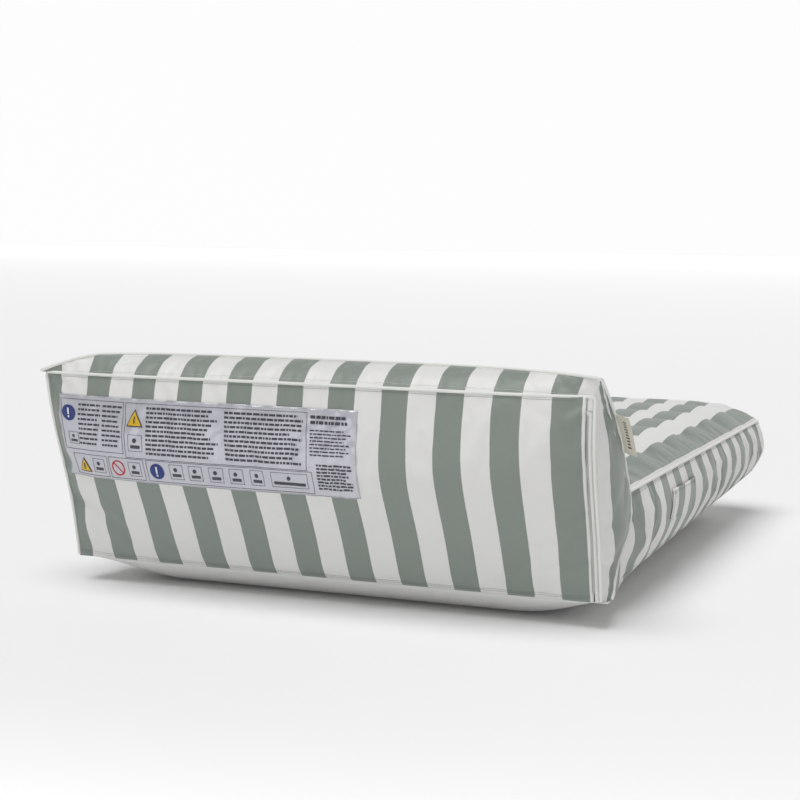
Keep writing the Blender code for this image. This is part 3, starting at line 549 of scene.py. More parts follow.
def boxingSpot(stop, down):
    segment, share = stop
    point = boxingPoint(segment, share, down)
    straight, arc = coverLength - footCorner, (footCorner + 0.009) * math.pi / 2
    lengths = (straight, arc, 2 * (half - footCorner), arc)
    along = point.y - hemY
    run = {0: along, 4: straight - along}.get(segment, lengths[segment % 4] * share)
    return point, (sum(lengths[:segment]) + run + boxing["stripeShift"], down * 0.125)


def belly(x, y):
    end = coverLength - hemInset
    wide = seatHalf(y, hemHalf(y), end, footCorner)
    low = settle((wide - abs(x)) / 0.15)
    low *= settle((y - hemStart) / 0.088) * settle((end - y) / 0.16)
    return (hemZ + hemHeight(y)) * (1 - low)


def bottomSpot(share, s):
    end = coverLength - hemInset
    y = mix(hemStart, end, share)
    x = s * seatHalf(y, hemHalf(y), end, footCorner)
    drop = hemSag(y, 0) / (hemZ + hemHeight(y))
    return Vector((x, hemY + y, belly(x, y) * (1 - drop))), (x, y)


rear = clothGrid("rearPanelCloth", shares(50), np.linspace(rearLook["left"], rearLook["right"], 135),
                 rearSpot, stripedCloth)
band = ruledPanel("topBandCloth", rearSeam, frontSeam, 0.004, (140, 11), inside, 0.04, 1.0)
front = ruledPanel("backrestFrontCloth", frontSeam, junction, 0.020, (120, 34),
                   place(0, 0, seatHeight), 0.032)
gussetRight = makeGusset("gussetRightCloth", 1)
gussetLeft = makeGusset("gussetLeftCloth", -1)
seat = clothGrid("seatPanelCloth", shares(118), np.linspace(-1, 1, 92), seatSpot, stripedCloth)
boxingStops = [(segment, share) for segment, steps in enumerate(boxing["steps"])
               for share in shares(steps)[:steps - (segment < 4)]]
sides = clothGrid("seatBoxingCloth", boxingStops, shares(boxing["rows"]), boxingSpot, stripedCloth,
                  place(0, 0.5, 0.07))
bottom = clothGrid("bottomPanelCloth", shares(110), np.linspace(-1, 1, 86), bottomSpot, whiteCloth)
print("cover panels cut")


# inflation: each panel is a little larger than the frame of its seams, held along them, and blown out
airLook = {
    # piece: slack of the cloth, push outwards, most that a point may move
    "rearPanelCloth": (0.020, 2.5, 0.010),
    "topBandCloth": (0.030, 3.0, 0.007),
    "backrestFrontCloth": (0.014, 2.0, 0.006),
    "gussetRightCloth": (0.030, 3.0, 0.007),
    "gussetLeftCloth": (0.030, 3.0, 0.007),
    "seatPanelCloth": (0.012, 1.0, 0.008),
    "seatBoxingCloth": (0.020, 2.0, 0.006),
}
airFrames = 20
airCloth = {
    "quality": 5, "mass": 0.25, "tension_stiffness": 25, "compression_stiffness": 25, "shear_stiffness": 8,
    "bending_stiffness": 0.6, "tension_damping": 8, "compression_damping": 8, "air_damping": 3,
    "use_pressure": True, "vertex_group_mass": "seams", "pin_stiffness": 1.0,
}


def inflate(pieces):
    before = {}
    for piece in pieces:
        slack, push, _ = airLook[piece.name]
        rows, wide = piece["rows"], piece["wide"]
        edge = [j * wide + k for j in range(rows) for k in range(wide) if j in (0, rows - 1) or k in (0, wide - 1)]
        piece.vertex_groups.new(name="seams").add(edge, 1.0, "REPLACE")
        before[piece.name] = readAll(piece.data.vertices, "co")
        cloth = piece.modifiers.new("air", "CLOTH")
        for name, value in {**airCloth, "shrink_min": -slack, "uniform_pressure_force": push}.items():
            setattr(cloth.settings, name, value)
        cloth.settings.effector_weights.gravity = 0
        cloth.collision_settings.use_collision = False
        cloth.point_cache.frame_start, cloth.point_cache.frame_end = 1, airFrames
    for moment in range(1, airFrames + 1):
        scene.frame_set(moment)
        bpy.context.view_layer.update()
    view = bpy.context.evaluated_depsgraph_get()
    for piece in pieces:
        most = airLook[piece.name][2]
        start = before[piece.name]
        step = readAll(piece.evaluated_get(view).data.vertices, "co") - start
        size = np.linalg.norm(step, axis=1, keepdims=True)
        # the cap is soft, so that folds are kept where the cloth has moved far
        kept = most * np.tanh(size / most) / np.maximum(size, 1e-9)
        if piece.name == "seatBoxingCloth":
            # the cloth stays put round the slot, where the flap is hinged
            low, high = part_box("valve_flap")
            past = np.abs(start[:, 1] - (low[1] + high[1]) / 2) - (high[1] - low[1]) / 2
            free = np.clip((past - 0.005) / 0.04, 0, 1)
            kept = kept * np.where(start[:, 0] > 0, free, 1.0)[:, None]
        piece.modifiers.clear()
        piece.data.vertices.foreach_set("co", (start + step * kept).ravel())
        piece.data.update()
    scene.frame_set(1)


blown = [rear, band, front, gussetRight, gussetLeft, seat, sides]
inflate(blown)
print("cover inflated")

pipingLook = {"radius": 0.0024, "bend": 0.006, "waver": 0.0004, "waverScale": 45.0}


def pathPiece(name, lines):
    # polylines as one mesh of edges, for the trees that follow a path
    points, edges = [], []
    for line in lines:
        first = len(points)
        points += [tuple(point) for point in line]
        edges += [(first + k, first + k + 1) for k in range(len(line) - 1)]
    return meshPiece(name, points, edges, [])


def startTree(name, spacing, *sizes):
    # a tree that walks a path in even steps
    tree = bpy.data.node_groups.new(name, "GeometryNodeTree")
    sockets = [("Geometry", "Geometry"), *((label, "Float") for label in (spacing, *sizes)), ("look", "Material")]
    for label, kind in sockets:
        tree.interface.new_socket(label, in_out="INPUT", socket_type="NodeSocket" + kind)
    tree.interface.new_socket("Geometry", in_out="OUTPUT", socket_type="NodeSocketGeometry")
    given = tree.nodes.new("NodeGroupInput").outputs
    line = addNode(tree, "GeometryNodeMeshToCurve", {0: given["Geometry"]})
    even = addNode(tree, "GeometryNodeResampleCurve", {"Curve": line, "Length": given[spacing]}, mode="LENGTH")
    return tree, given, even


def finishTree(tree, given, shape):
    smooth = addNode(tree, "GeometryNodeSetShadeSmooth", {0: shape})
    plain = addNode(tree, "GeometryNodeRealizeInstances", {0: smooth})
    painted = addNode(tree, "GeometryNodeSetMaterial", {"Geometry": plain, "Material": given["look"]})
    addNode(tree, "NodeGroupOutput", {0: painted})
    return tree


def cordTree():
    tree, given, even = startTree("sewnPiping", "step", "cordRadius", "waver")
    ring = addNode(tree, "GeometryNodeCurvePrimitiveCircle", {"Resolution": 12, "Radius": given["cordRadius"]})
    tube = addNode(tree, "GeometryNodeCurveToMesh", {"Curve": even, "Profile Curve": ring, "Fill Caps": True})
    bumps = addNode(tree, "ShaderNodeTexNoise", {"Scale": pipingLook["waverScale"], "Detail": 3.0}, 1)
    signed = addNode(tree, "ShaderNodeVectorMath", {0: bumps, 1: (0.5, 0.5, 0.5)}, operation="SUBTRACT")
    scaled = addNode(tree, "ShaderNodeVectorMath", {0: signed, "Scale": given["waver"]}, operation="SCALE")
    return finishTree(tree, given, addNode(tree, "GeometryNodeSetPosition", {"Geometry": tube, "Offset": scaled}))


def beadTree(name, segments, rings, sizes, turned):
    # beads sown along a path: stitches lie along it, zip teeth across it
    tree, given, even = startTree(name, "pitch", *dict.fromkeys(sizes))
    bead = addNode(tree, "GeometryNodeMeshUVSphere", {"Segments": segments, "Rings": rings, "Radius": 1.0})
    size = addNode(tree, "ShaderNodeCombineXYZ", {k: given[label] for k, label in enumerate(sizes)})
    sown = {"Points": even, "Instance": addNode(tree, "GeometryNodeTransform", {"Geometry": bead, "Scale": size})}
    if turned:
        along = addNode(tree, "GeometryNodeInputTangent")
        sown["Rotation"] = addNode(tree, "FunctionNodeAlignRotationToVector", {"Vector": along}, axis="Z")
    return finishTree(tree, given, addNode(tree, "GeometryNodeInstanceOnPoints", sown))


def grow(name, tree, lines, look, **values):
    # runs a tree along lines and keeps the result as a plain mesh
    source = pathPiece(name + "Path", lines)
    maker = source.modifiers.new("grow", "NODES")
    maker.node_group = tree
    values["look"] = look
    for item in tree.interface.items_tree:
        if item.in_out == "INPUT" and item.name in values:
            maker[item.identifier] = values[item.name]
    source.update_tag()
    view = bpy.context.evaluated_depsgraph_get()
    data = bpy.data.meshes.new_from_object(source.evaluated_get(view))
    data.name = name
    if look.name not in [m.name for m in data.materials if m]:
        data.materials.append(look)
    bpy.data.objects.remove(source, do_unlink=True)
    return link(data, name)


sewnPiping = cordTree()
topstitching = beadTree("topstitching", 6, 4, ("threadRadius", "threadRadius", "halfLength"), True)
zipCoil = beadTree("zipCoil", 8, 5, ("across", "along", "along"), False)


def bend(points, corner, radius, steps=5):
    here = points[corner]
    inward = (points[corner - 1] - here).normalized()
    onward = (points[corner + 1] - here).normalized()
    start, end = here + inward * radius, here + onward * radius
    arc = [start * (1 - t) ** 2 + here * 2 * t * (1 - t) + end * t**2 for t in shares(steps)]
    return points[:corner] + arc + points[corner + 1:]


def pipingLines():
    uprights = [[place(x, *bowedRear(t, x)) for t in np.linspace(0.01, 1, 24)]
                for x in (-half, half - cornerTuck)]
    fronts = [[place(x, *gussetFront(share)) for share in np.linspace(0.01, 1.0, 60)] for x in (-half, half)]
    found = []
    for (left, right), seam, tuck in ((uprights, rearSeam, 1.0), (fronts, frontSeam, 0.0)):
        over = [place(tucked(x, tuck), *seam(x)) for x in np.linspace(-half, half, 60)]
        line = left + over[1:-1] + right[::-1]
        for turn in (len(line) - len(right), len(left) - 1):
            line = bend(line, turn, pipingLook["bend"])
        found.append(line)
    start = gussetFront(boxing["join"]).x + 0.004
    seatLine = []
    for segment in range(5):
        steps = 12 if segment in (1, 3) else 90
        for step in range(steps + (segment == 4)):
            x, y, _ = plan(segment, step / steps, half, start, coverLength, footCorner)
            seatLine.append(place(x, y, seatHeight))
    return (*found, seatLine)


for line, name in zip(pipingLines(), ("rear", "front", "seat")):
    made = grow(name + "PipingCord", sewnPiping, [line], pipingCloth,
                cordRadius=pipingLook["radius"], step=0.004, waver=pipingLook["waver"])
    take(made, "piping_bias_tape", name + "_piping")
print("piping sewn in")

# rows of topstitching, collected as lines and sewn at the end
shapes = {piece.name: gridShape(piece) for piece in blown}
stitchRows = {"white": [], "grey": []}


def rowLine(shape, start, end, lift=0.0003, count=60):
    # a line over a panel between two spots, each given as shares of its columns and rows
    return [above(shape, mix(start[0], end[0], t), mix(start[1], end[1], t), lift) for t in shares(count)]


def sew(piece, start, end, thread="white", count=60):
    stitchRows[thread].append(rowLine(shapes[piece.name], start, end, 0.0003, count))


for share in (0.018, 0.029):
    sew(rear, (0.01, share), (0.99, share), "grey", 150)
sew(rear, (0.015, 0.982), (0.985, 0.982), "grey", 150)
sew(rear, (0.9945, 0.03), (0.9945, 0.97))
sew(rear, (0.007, 0.03), (0.007, 0.97), "grey")
for share in (0.12, 0.88):
    sew(band, (share, 0.012), (share, 0.988), "white", 150)
sew(front, (0.02, 0.012), (0.02, 0.988), "white", 150)
for gusset in (gussetRight, gussetLeft):
    sew(gusset, (0.035, 0.02), (0.035, 0.96))
    sew(gusset, (0.965, 0.02), (0.965, 0.96), "grey")
for down in (0.045, 0.94):
    sew(sides, (down, 0.004), (down, 0.996), "grey", 420)
for share in (0.006, 0.994):
    sew(seat, (share, 0.01), (share, 0.99), "white", 160)
sew(seat, (0.02, 0.994), (0.98, 0.994), "white", 120)


# zip up the right corner: two tapes, two coils, the fold that covers them and the garage over the slider
zipLook = {"low": 0.045, "high": 0.93, "pitch": 0.0016, "toothAcross": 0.0017, "toothAlong": 0.0006}


def zipSpot(share, x, out):
    y, z = gussetRear(share)
    return place(x, y - edgeBow(share, 1) - out, z)


def zipStrip(name, profile, look, wall, node, low=0.004, high=0.998, count=60):
    # profile: how far each edge of the strip stands from the zip's line, across and outwards
    made = clothGrid(name, np.linspace(low, high, count), profile, lambda share, spot: (
        zipSpot(share, zipX + spot[0], spot[1]), (zipX + spot[0] + 0.042, share * 0.29)), look)
    slot = "woven_zip_tape" if node else "white_polyester"
    return take(thin(made, wall), slot, *node)


for name, x, shift, node in (("zipCoilRear", -0.0009, 0.0, "zip_coil_rear"),
                             ("zipCoilSide", 0.0009, 0.0030, "zip_coil_side")):
    line = [zipSpot(share + shift, zipX + x, 0.0013) for share in np.linspace(zipLook["low"], zipLook["high"], 60)]
    teeth = grow(name, zipCoil, [line], coilNylon, pitch=zipLook["pitch"],
                 across=zipLook["toothAcross"], along=zipLook["toothAlong"])
    take(teeth, "nylon_zip_coil", node)

zipStrip("zipTapeRearWeave", ((-0.0095, -0.0022), (-0.0045, -0.0010), (-0.0006, -0.0014)),
         zipTapeCloth, 0.0006, ("zip_tape_rear",))
zipStrip("zipTapeSideWeave", ((0.0006, -0.0024), (0.004, -0.0028), (0.0075, -0.0028)),
         zipTapeCloth, 0.0006, ("zip_tape_side",))
zipStrip("zipCoverFold", ((0.0009, -0.0022), (0.0010, 0.0002), (0.0020, 0.0018), (0.0036, 0.0021),
                          (0.0050, 0.0012), (0.0062, -0.0006), (0.0085, -0.0018)),
         whiteCloth, 0.0009, (), 0.002, 0.998, 90)
zipStrip("zipTopBunchedFold", ((-0.0050, -0.0006), (-0.0042, 0.0012), (-0.0024, 0.0026), (-0.0002, 0.0030),
                               (0.0022, 0.0036), (0.0046, 0.0030), (0.0066, 0.0010), (0.0080, -0.0012)),
         whiteCloth, 0.0010, (), 0.935, 0.997, 16)
stitchRows["white"].append([zipSpot(share, zipX + 0.0058, 0.0003) for share in np.linspace(0.03, 0.95, 60)])


def softCopy(name, node, look):
    # a smoothed copy of a node's shape
    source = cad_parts[node]
    data = source.data.copy()
    data.name = name
    data.transform(source.matrix_world)
    mesh = bmesh.new()
    mesh.from_mesh(data)
    bmesh.ops.remove_doubles(mesh, verts=mesh.verts, dist=1e-6)
    bmesh.ops.join_triangles(mesh, faces=mesh.faces, angle_face_threshold=0.2, angle_shape_threshold=0.8,
                             cmp_seam=False, cmp_sharp=False, cmp_uvs=False, cmp_vcols=False, cmp_materials=False)
    mesh.to_mesh(data)
    mesh.free()
    data.materials.clear()
    data.shade_smooth()
    made = link(data, name, look)
    finer = made.modifiers.new("finer", "SUBSURF")
    finer.levels = finer.render_levels = 1
    return made


take(softCopy("zipGarageCloth", "zip_garage", whiteCloth), "white_polyester", "zip_garage")
print("zip sewn in")


# care label: printed film sewn to the rear panel, with generic marks only
labelLook = {"left": -0.406, "right": 0.086, "low": 0.455, "high": 0.890, "lift": 0.0014, "crinkle": 0.0009, "seed": 7}
labelWide = labelLook["right"] - labelLook["left"]
labelTall = (labelLook["high"] - labelLook["low"]) * 0.287
chance = random.Random(labelLook["seed"])


def labelSpot(a, b, lift=0.0):
    # a and b in metres from the label's top left corner
    x = labelLook["left"] + a
    u = (x - rearLook["left"]) / (rearLook["right"] - rearLook["left"])
    v = mix(labelLook["high"], labelLook["low"], b / labelTall)
    wave = math.sin(a * 173 + b * 61) * math.sin(b * 220 + a * 37) + 0.6 * math.sin(a * 410 - b * 170)
    rough = labelLook["crinkle"] * wave * (0.25 + ease((a / labelWide - 0.75) / 0.25))
    return above(shapes["rearPanelCloth"], u, v, labelLook["lift"] + max(rough, -0.0008) + lift)


label = clothGrid("careLabelFilm", np.linspace(0, labelTall, 40), np.linspace(0, labelWide, 150),
                  lambda b, a: (labelSpot(a, b), (a, b)), silverFilm)
take(thin(label, 0.0004), "silver_print_film", "care_label")


class Print:
    def __init__(self):
        self.points, self.faces = [], []

    def face(self, spots, lift=0.00025):
        first = len(self.points)
        self.points += [tuple(labelSpot(a, b, lift)) for a, b in spots]
        self.faces.append(tuple(range(first, first + len(spots))))

    def bar(self, left, top, right, low, lift=0.00025):
        count, deep = (max(1, math.ceil(size / 0.005)) for size in (right - left, low - top))
        for j in range(deep):
            for k in range(count):
                a, b = mix(left, right, k / count), mix(left, right, (k + 1) / count)
                c, d = mix(top, low, j / deep), mix(top, low, (j + 1) / deep)
                self.face([(a, c), (a, d), (b, d), (b, c)], lift)

    def frame(self, left, top, right, low, wide=0.0006):
        for sides in ((left, top, right, top + wide), (left, low - wide, right, low),
                      (left, top + wide, left + wide, low - wide), (right - wide, top + wide, right, low - wide)):
            self.bar(*sides)

    def ring(self, a, b, outer, inner=0.0, lift=0.00025):
        for j in range(4):
            near, far = mix(inner, outer, j / 4), mix(inner, outer, (j + 1) / 4)
            for k in range(28):
                first, second = math.tau * k / 28, math.tau * (k + 1) / 28
                corners = [(a + radius * math.cos(turn), b + radius * math.sin(turn)) for radius, turn in (
                    (far, first), (near, first), (near, second), (far, second))]
                self.face(corners if near else corners[:2] + corners[3:], lift)

    def triangle(self, a, b, size, lift=0.00025):
        for j in range(8):
            for k in range(6):
                left, right, high, low = k / 3 - 1, (k + 1) / 3 - 1, j / 8, (j + 1) / 8
                spots = [(a + 0.95 * size * way * down, b + size * (1.75 * down - 1))
                         for way, down in ((left, high), (left, low), (right, low), (right, high))]
                self.face(spots if j else spots[:3], lift)

    def lines(self, left, top, right, low, count, weight):
        # words stood in for by plain bars
        step = (low - top) / count
        for k in range(count):
            a, b = left, top + k * step
            end = right - chance.random() * 0.2 * (right - left)
            while a < end:
                word = min(0.0025 + chance.random() * 0.0075, end - a)
                self.bar(a, b, a + word, b + step * weight)
                a += word + 0.0014

    def make(self, name, look):
        return take(thin(meshPiece(name, self.points, [], self.faces, look), 0.00015, 1), "silver_print_film")


def at(*shares):
    # shares of the label's width and height in turn, as metres
    return [share * (labelTall if k % 2 else labelWide) for k, share in enumerate(shares)]


def printLabel():
    inks = {name: Print() for name in ("black", "blue", "yellow", "red", "white")}
    ink, blue, yellow, red, white = inks.values()
    ink.frame(*at(0.010, 0.05, 0.232, 0.66))
    ink.frame(*at(0.240, 0.05, 0.845, 0.70))
    for left, right in ((0.035, 0.165), (0.172, 0.300), (0.310, 0.860)):
        ink.frame(*at(left, 0.71, right, 0.97))
    for left, top, right, low, count, weight in (
            (0.072, 0.10, 0.148, 0.62, 9, 0.42), (0.155, 0.10, 0.225, 0.62, 9, 0.42),
            (0.315, 0.09, 0.565, 0.67, 11, 0.5), (0.580, 0.09, 0.835, 0.67, 11, 0.5),
            (0.855, 0.08, 0.985, 0.20, 2, 0.6), (0.855, 0.24, 0.985, 0.55, 8, 0.42),
            (0.875, 0.62, 0.990, 0.93, 8, 0.55)):
        ink.lines(*at(left, top, right, low), count, weight)

    def tile(across, down, size, broad=1.0):
        # a plain framed square with a blank symbol: a bar below a dot
        a, b = at(across, down)
        left, right = a - size * broad, a + size * broad
        ink.frame(left, b - size, right, b + size, 0.0005)
        ink.bar(left + size * 0.35, b + size * 0.25, right - size * 0.35, b + size * 0.65)
        ink.ring(a - size * 0.1, b - size * 0.3, size * 0.28)

    for across, down, size in ((0.039, 0.22, 0.0120), (0.345, 0.84, 0.0118)):
        a, b = at(across, down)
        blue.ring(a, b, size, 0.0, 0.0006)
        white.bar(a - 0.0014, b - 0.0075, a + 0.0014, b + 0.0025, 0.0012)
        white.bar(a - 0.0014, b + 0.0042, a + 0.0014, b + 0.0070, 0.0012)
    for across, down, size in ((0.275, 0.24, 0.0135), (0.074, 0.855, 0.0115)):
        a, b = at(across, down)
        ink.triangle(a, b, size * 1.12, 0.0006)
        yellow.triangle(a, b + size * 0.02, size * 0.90, 0.0010)
        ink.bar(a - 0.0010, b - size * 0.3, a + 0.0010, b + size * 0.45, 0.0014)
    middle = at(0.205, 0.84)
    red.ring(*middle, 0.0120, 0.0098)
    for t in np.linspace(-0.92, 0.92, 9):
        a, b = middle[0] + t * 0.0071, middle[1] + t * 0.0071
        red.bar(a - 0.0011, b - 0.0011, a + 0.0011, b + 0.0011)
    row = ((across, 0.83, 0.0112) for across in (0.412, 0.477, 0.545, 0.612, 0.680))
    for symbol in ((0.050, 0.52, 0.0092), (0.278, 0.52, 0.0122), (0.130, 0.84, 0.0108), (0.266, 0.84, 0.0108), *row):
        tile(*symbol)
    tile(0.785, 0.83, 0.0110, 2.6)
    return [page.make("labelInk" + name.title(), printInks[name]) for name, page in inks.items()]


labelInk = printLabel()
for start, end in (((0.004, 0.004), (0.996, 0.004)), ((0.004, 0.996), (0.996, 0.996)),
                   ((0.003, 0.01), (0.003, 0.99)), ((0.997, 0.01), (0.997, 0.99))):
    stitchRows["white"].append([labelSpot(*at(mix(start[0], end[0], t), mix(start[1], end[1], t)), 0.0003)
                                for t in shares(120)])
print("label printed")


# side tag: cotton tape folded over and caught in the seam
tagLook = {"high": 0.832, "low": 0.716, "reach": 0.020, "way": (0.78, 0.53, -0.33), "layer": 0.0011, "marks": 10}
tagWay = Vector(tagLook["way"]).normalized()


def tagSpot(along, out, lift=0.0):
    share = mix(tagLook["high"], tagLook["low"], along)
    here = place(half, *gussetFront(share))
    seam = (place(half, *gussetFront(share + 0.01)) - place(half, *gussetFront(share - 0.01))).normalized()
    face = tagWay.cross(seam).normalized()
    curl = 0.0012 * math.sin(out / tagLook["reach"] * 2.6) + 0.0008 * math.sin(along * 5 + 1)
    return here + tagWay * (0.001 + out) + face * (curl + lift)


reach = tagLook["reach"]
tagProfile = [*((out, 0.0009) for out in np.linspace(0, reach, 10)), (reach + 0.0009, 0.0),
              *((out, -0.0009) for out in np.linspace(reach, 0, 10))]
tag = clothGrid("sideTagCotton", shares(24), range(len(tagProfile)), lambda along, k: (
    tagSpot(along, *tagProfile[k]), (k * 0.0033, along * 0.06)), tagCotton, tagSpot(0.5, reach * 0.5))
take(thin(tag, 0.0006, 0), "cotton_tag_weave", "side_tag")


# a row of plain dashes
points, faces = [], []
for k in range(tagLook["marks"]):
    along = mix(0.16, 0.84, k / (tagLook["marks"] - 1))
    wide = 0.0042 if k % 3 else 0.0054
    for a, b in ((-1, -1), (-1, 1), (1, 1), (1, -1)):
        points.append(tuple(tagSpot(along + a * 0.017, 0.60 * tagLook["reach"] + b * wide / 2, 0.00135)))
    faces.append(tuple(range(4 * k, 4 * k + 4)))
tagMarks = meshPiece("sideTagMarks", points, [], faces, tagInk)
take(thin(tagMarks, 0.0002, 1), "cotton_tag_weave")
stitchRows["white"].append([tagSpot(t, 0.004, 0.0013) for t in np.linspace(0.03, 0.97, 30)])


# valve flap on the right side, over a slot in the boxing
flapLow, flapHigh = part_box("valve_flap")
flapLook = {"stand": 0.0030, "belly": 0.0016, "cloth": 0.0013, "shift": 0.022}
boxPoints, boxNormals = shapes["seatBoxingCloth"]


def sideSurface(y, z):
    # spot on the right side of the boxing at a given place along it and height
    count = boxing["steps"][0]
    rows = boxPoints[:count]
    line = rows[int(np.argmin(np.abs(rows[:, 10, 1] - y)))]
    u = float(np.interp(-z, -line[:, 2], shares(line.shape[0])))
    v = float(np.interp(y, rows[:, 10, 1], np.arange(count) / (boxPoints.shape[0] - 1)))
    return Vector(surfaceAt(boxPoints, u, v)), Vector(surfaceAt(boxNormals, u, v)).normalized()


def flapSpot(t, s):
    y = mix(flapLow[1], flapHigh[1], s)
    z = mix(flapHigh[2], flapLow[2] + 0.0028, t) - 0.0015 * arch(s) * (1 - t)
    spot, away = sideSurface(y, z)
    stand = flapLook["stand"] * (1 - 0.3 * t) + flapLook["belly"] * arch(s)
    return spot + away * stand, (y - hemY + boxing["stripeShift"] + flapLook["shift"], t * 0.04)


flap = clothGrid("valveFlapCloth", shares(12), shares(28), flapSpot, stripedCloth)
take(thin(flap, flapLook["cloth"]), "striped_polyester", "valve_flap", body=flapBody)
flapShape = gridShape(flap)
flapRows = [rowLine(flapShape, start, end, 0.0003, 30) for start, end in (
    ((0.03, 0.10), (0.97, 0.10)), ((0.03, 0.10), (0.03, 0.97)), ((0.97, 0.10), (0.97, 0.97)))]
tackRows = [rowLine(flapShape, (u - 0.03, 0.16), (u + 0.03, 0.16), 0.0005, 8) for u in (0.07, 0.93)]

for name, body in (("Hook", flapBody), ("Loop", coverBody)):
    node = "flap_" + name.lower() + "_tape"
    nap = softCopy("flap" + name + "TapeNap", node, hookTape)
    nap.modifiers.clear()
    rim = nap.modifiers.new("rim", "BEVEL")
    rim.width, rim.segments, rim.limit_method = 0.0003, 2, "ANGLE"
    take(nap, "grey_hook_and_loop", node, body=body)


def cutSlot():
    # the opening behind the flap, cut along the cells of the boxing
    centre = (flapLow[1] + flapHigh[1]) / 2
    floor, top = flapLow[2] + 0.001, flapHigh[2] - 0.010
    mesh = bmesh.new()
    mesh.from_mesh(sides.data)
    gone = [face for face in mesh.faces if face.calc_center_median().x > 0.3
            and abs(face.calc_center_median().y - centre) < 0.032
            and floor < face.calc_center_median().z < top]
    bmesh.ops.delete(mesh, geom=gone, context="FACES")
    mesh.to_mesh(sides.data)
    mesh.free()
    print("slot cells cut", len(gone))


cutSlot()
print("flap sewn on")

# air chambers, baffles and valves inside the cover
for name, node in (("seatChamberFilm", "seat_bladder"), ("backChamberFilm", "back_bladder")):
    chamber = take(softCopy(name, node, vinylFilm), "clear_grey_vinyl", node)
for node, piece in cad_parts.items():
    look = None
    if "baffle" in node:
        look = vinylFilm
    elif "valve" in node and "flap" not in node:
        look = valveVinyl
    elif node == "zip_slider" or node.endswith("_stop"):
        look = sliderZinc
    if look:
        for slot in piece.material_slots:
            slot.material = look
print("air chambers and valves in")

stitchLook = {"pitch": 0.0042, "halfLength": 0.00155, "threadRadius": 0.00032}
tackLook = {"pitch": 0.0014, "halfLength": 0.0011, "threadRadius": 0.0005}
for name, lines, look, body, sizes in (
        ("coverTopstitchWhite", stitchRows["white"], threadWhite, coverBody, stitchLook),
        ("coverTopstitchGrey", stitchRows["grey"], threadGrey, coverBody, stitchLook),
        ("flapTopstitch", flapRows, threadGrey, flapBody, stitchLook),
        ("flapTacks", tackRows, threadGrey, flapBody, tackLook)):
    take(grow(name, topstitching, lines, look, **sizes), "striped_polyester", body=body)
print("topstitching sewn")

coverCloth = 0.0012
panels = (
    # piece, node, subdivisions, flat width and length
    (rear, "rear_panel", 1, (0.85, 0.33)), (band, "top_band", 1, (0.85, 0.058)),
    (front, "back_front_panel", 1, (0.85, 0.26)), (gussetRight, "gusset_right", 1, (0.15, 0.31)),
    (gussetLeft, "gusset_left", 1, (0.15, 0.31)), (seat, "seat_panel", 1, (0.88, 1.04)),
    (sides, "seat_boxing", 0, (2.86, 0.14)), (bottom, "bottom_panel", 0, (0.86, 1.12)),
)
onPanel = {"rearPanelCloth": [label, *labelInk]}
for piece, node, levels, flat in panels:
    if levels:
        finer = piece.modifiers.new("finer", "SUBSURF")
        finer.levels = finer.render_levels = levels
        finer.boundary_smooth = "PRESERVE_CORNERS"
    take(thin(piece, coverCloth), "white_polyester" if piece == bottom else "striped_polyester", node)
    more = {"area": 0.030} if "gusset" in node else {}  # leaf shaped
    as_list(onPanel.get(piece.name, []))

stageLook = {
    "size": 26, "height": 18, "floor": "#f4f4f4", "backdrop": 0.97, "world": 0.26,
    "sun": 2.15, "sunAngle": 46, "sunWay": (0.04, 0.30, -1.0), "fill": 0.6, "bounce": 3.0,
}


def aim(name, data, spot, way):
    made = link(data, name)
    made.location = spot
    made.rotation_euler = Vector(way).to_track_quat("-Z", "Y").to_euler()
    return made


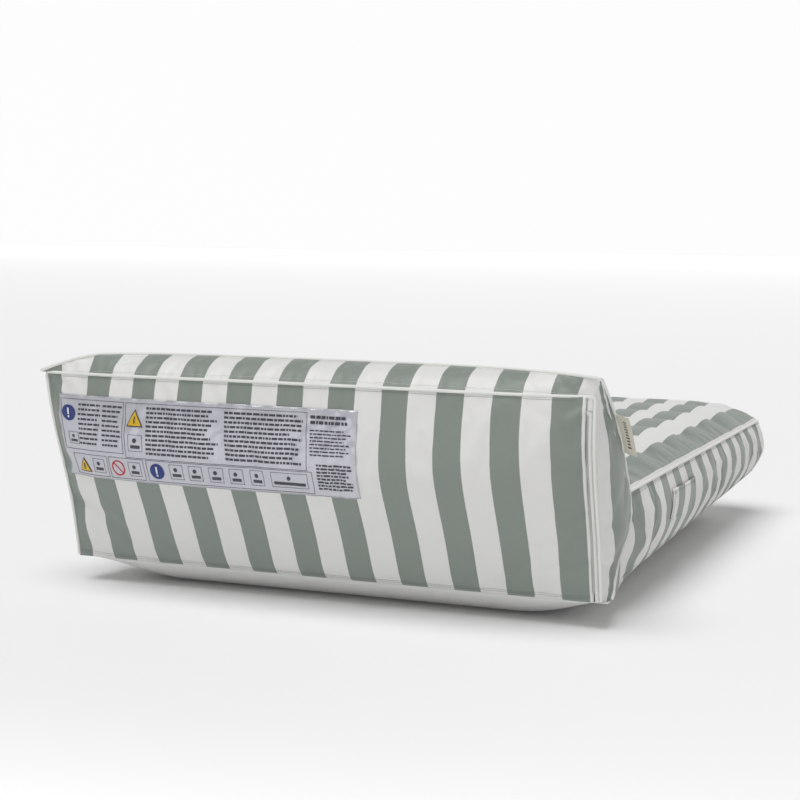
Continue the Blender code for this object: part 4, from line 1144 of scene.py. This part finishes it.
def makeStage():
    size, height = stageLook["size"], stageLook["height"]
    floor = newMaterial("paleStudioFloor", 0.95, **{"Base Color": linear(stageLook["floor"])})[0]
    paper = newMaterial("litPaperBackdrop", 1.0, **{
        "Base Color": (0, 0, 0, 1), "Emission Color": (1, 1, 1, 1), "Emission Strength": stageLook["backdrop"]})[0]
    for name, depth, rise, look in (("studioFloor", -size, 0, floor), ("studioBackdrop", size, height, paper)):
        ends = ((-size, depth, 0), (size, depth, 0), (size, size, rise), (-size, size, rise))
        meshPiece(name, ends, [], [(0, 1, 2, 3)], look)
    world = bpy.data.worlds.new("studioAir")
    world.use_nodes = True
    world.node_tree.nodes["Background"].inputs[0].default_value = (1, 1, 1, 1)
    world.node_tree.nodes["Background"].inputs[1].default_value = stageLook["world"]
    scene.world = world
    scene.view_settings.view_transform = "Standard"
    sun = bpy.data.lights.new("overheadSoftLight", "SUN")
    sun.energy, sun.angle = stageLook["sun"], math.radians(stageLook["sunAngle"])
    aim("overheadSoftLight", sun, (0, 0, 0), stageLook["sunWay"])


def areaLight(name, spot, target, size, power):
    data = bpy.data.lights.new(name, "AREA")
    data.shape = "RECTANGLE"
    data.size, data.size_y = size
    data.energy = power
    return aim(name, data, spot, Vector(target) - Vector(spot))


# the camera's place is measured from the rear hem
cameraLook = {"yaw": 0.389, "pitch": 0.104, "roll": 0.007, "lens": 77.72, "sensor": 36, "spot": (1.0435, -2.273, 0.514)}


def makeCamera():
    yaw, pitch, roll = (cameraLook[name] for name in ("yaw", "pitch", "roll"))
    forward = Vector((-math.sin(yaw) * math.cos(pitch), math.cos(yaw) * math.cos(pitch), -math.sin(pitch)))
    right = Vector((math.cos(yaw), math.sin(yaw), 0))
    up = right.cross(forward)
    turnedRight = right * math.cos(roll) + up * math.sin(roll)
    turnedUp = -right * math.sin(roll) + up * math.cos(roll)
    data = bpy.data.cameras.new("studioCamera")
    data.sensor_width, data.lens = cameraLook["sensor"], cameraLook["lens"]
    camera = link(data, "studioCamera")
    turn = Matrix((turnedRight, turnedUp, -forward)).transposed().to_4x4()
    x, y, z = cameraLook["spot"]
    camera.matrix_world = Matrix.Translation((x, hemY + y, hemZ + z)) @ turn
    scene.camera = camera


makeStage()
areaLight("rearFill", (1.8, -3.6, 1.6), (0, -0.4, 0.15), (2.0, 1.6), stageLook["fill"])
areaLight("floorBounce", (0.2, -1.55, 0.04), (0.0, -0.55, 0.10), (2.6, 0.5), stageLook["bounce"]).visible_camera = False
makeCamera()
print("stage set")
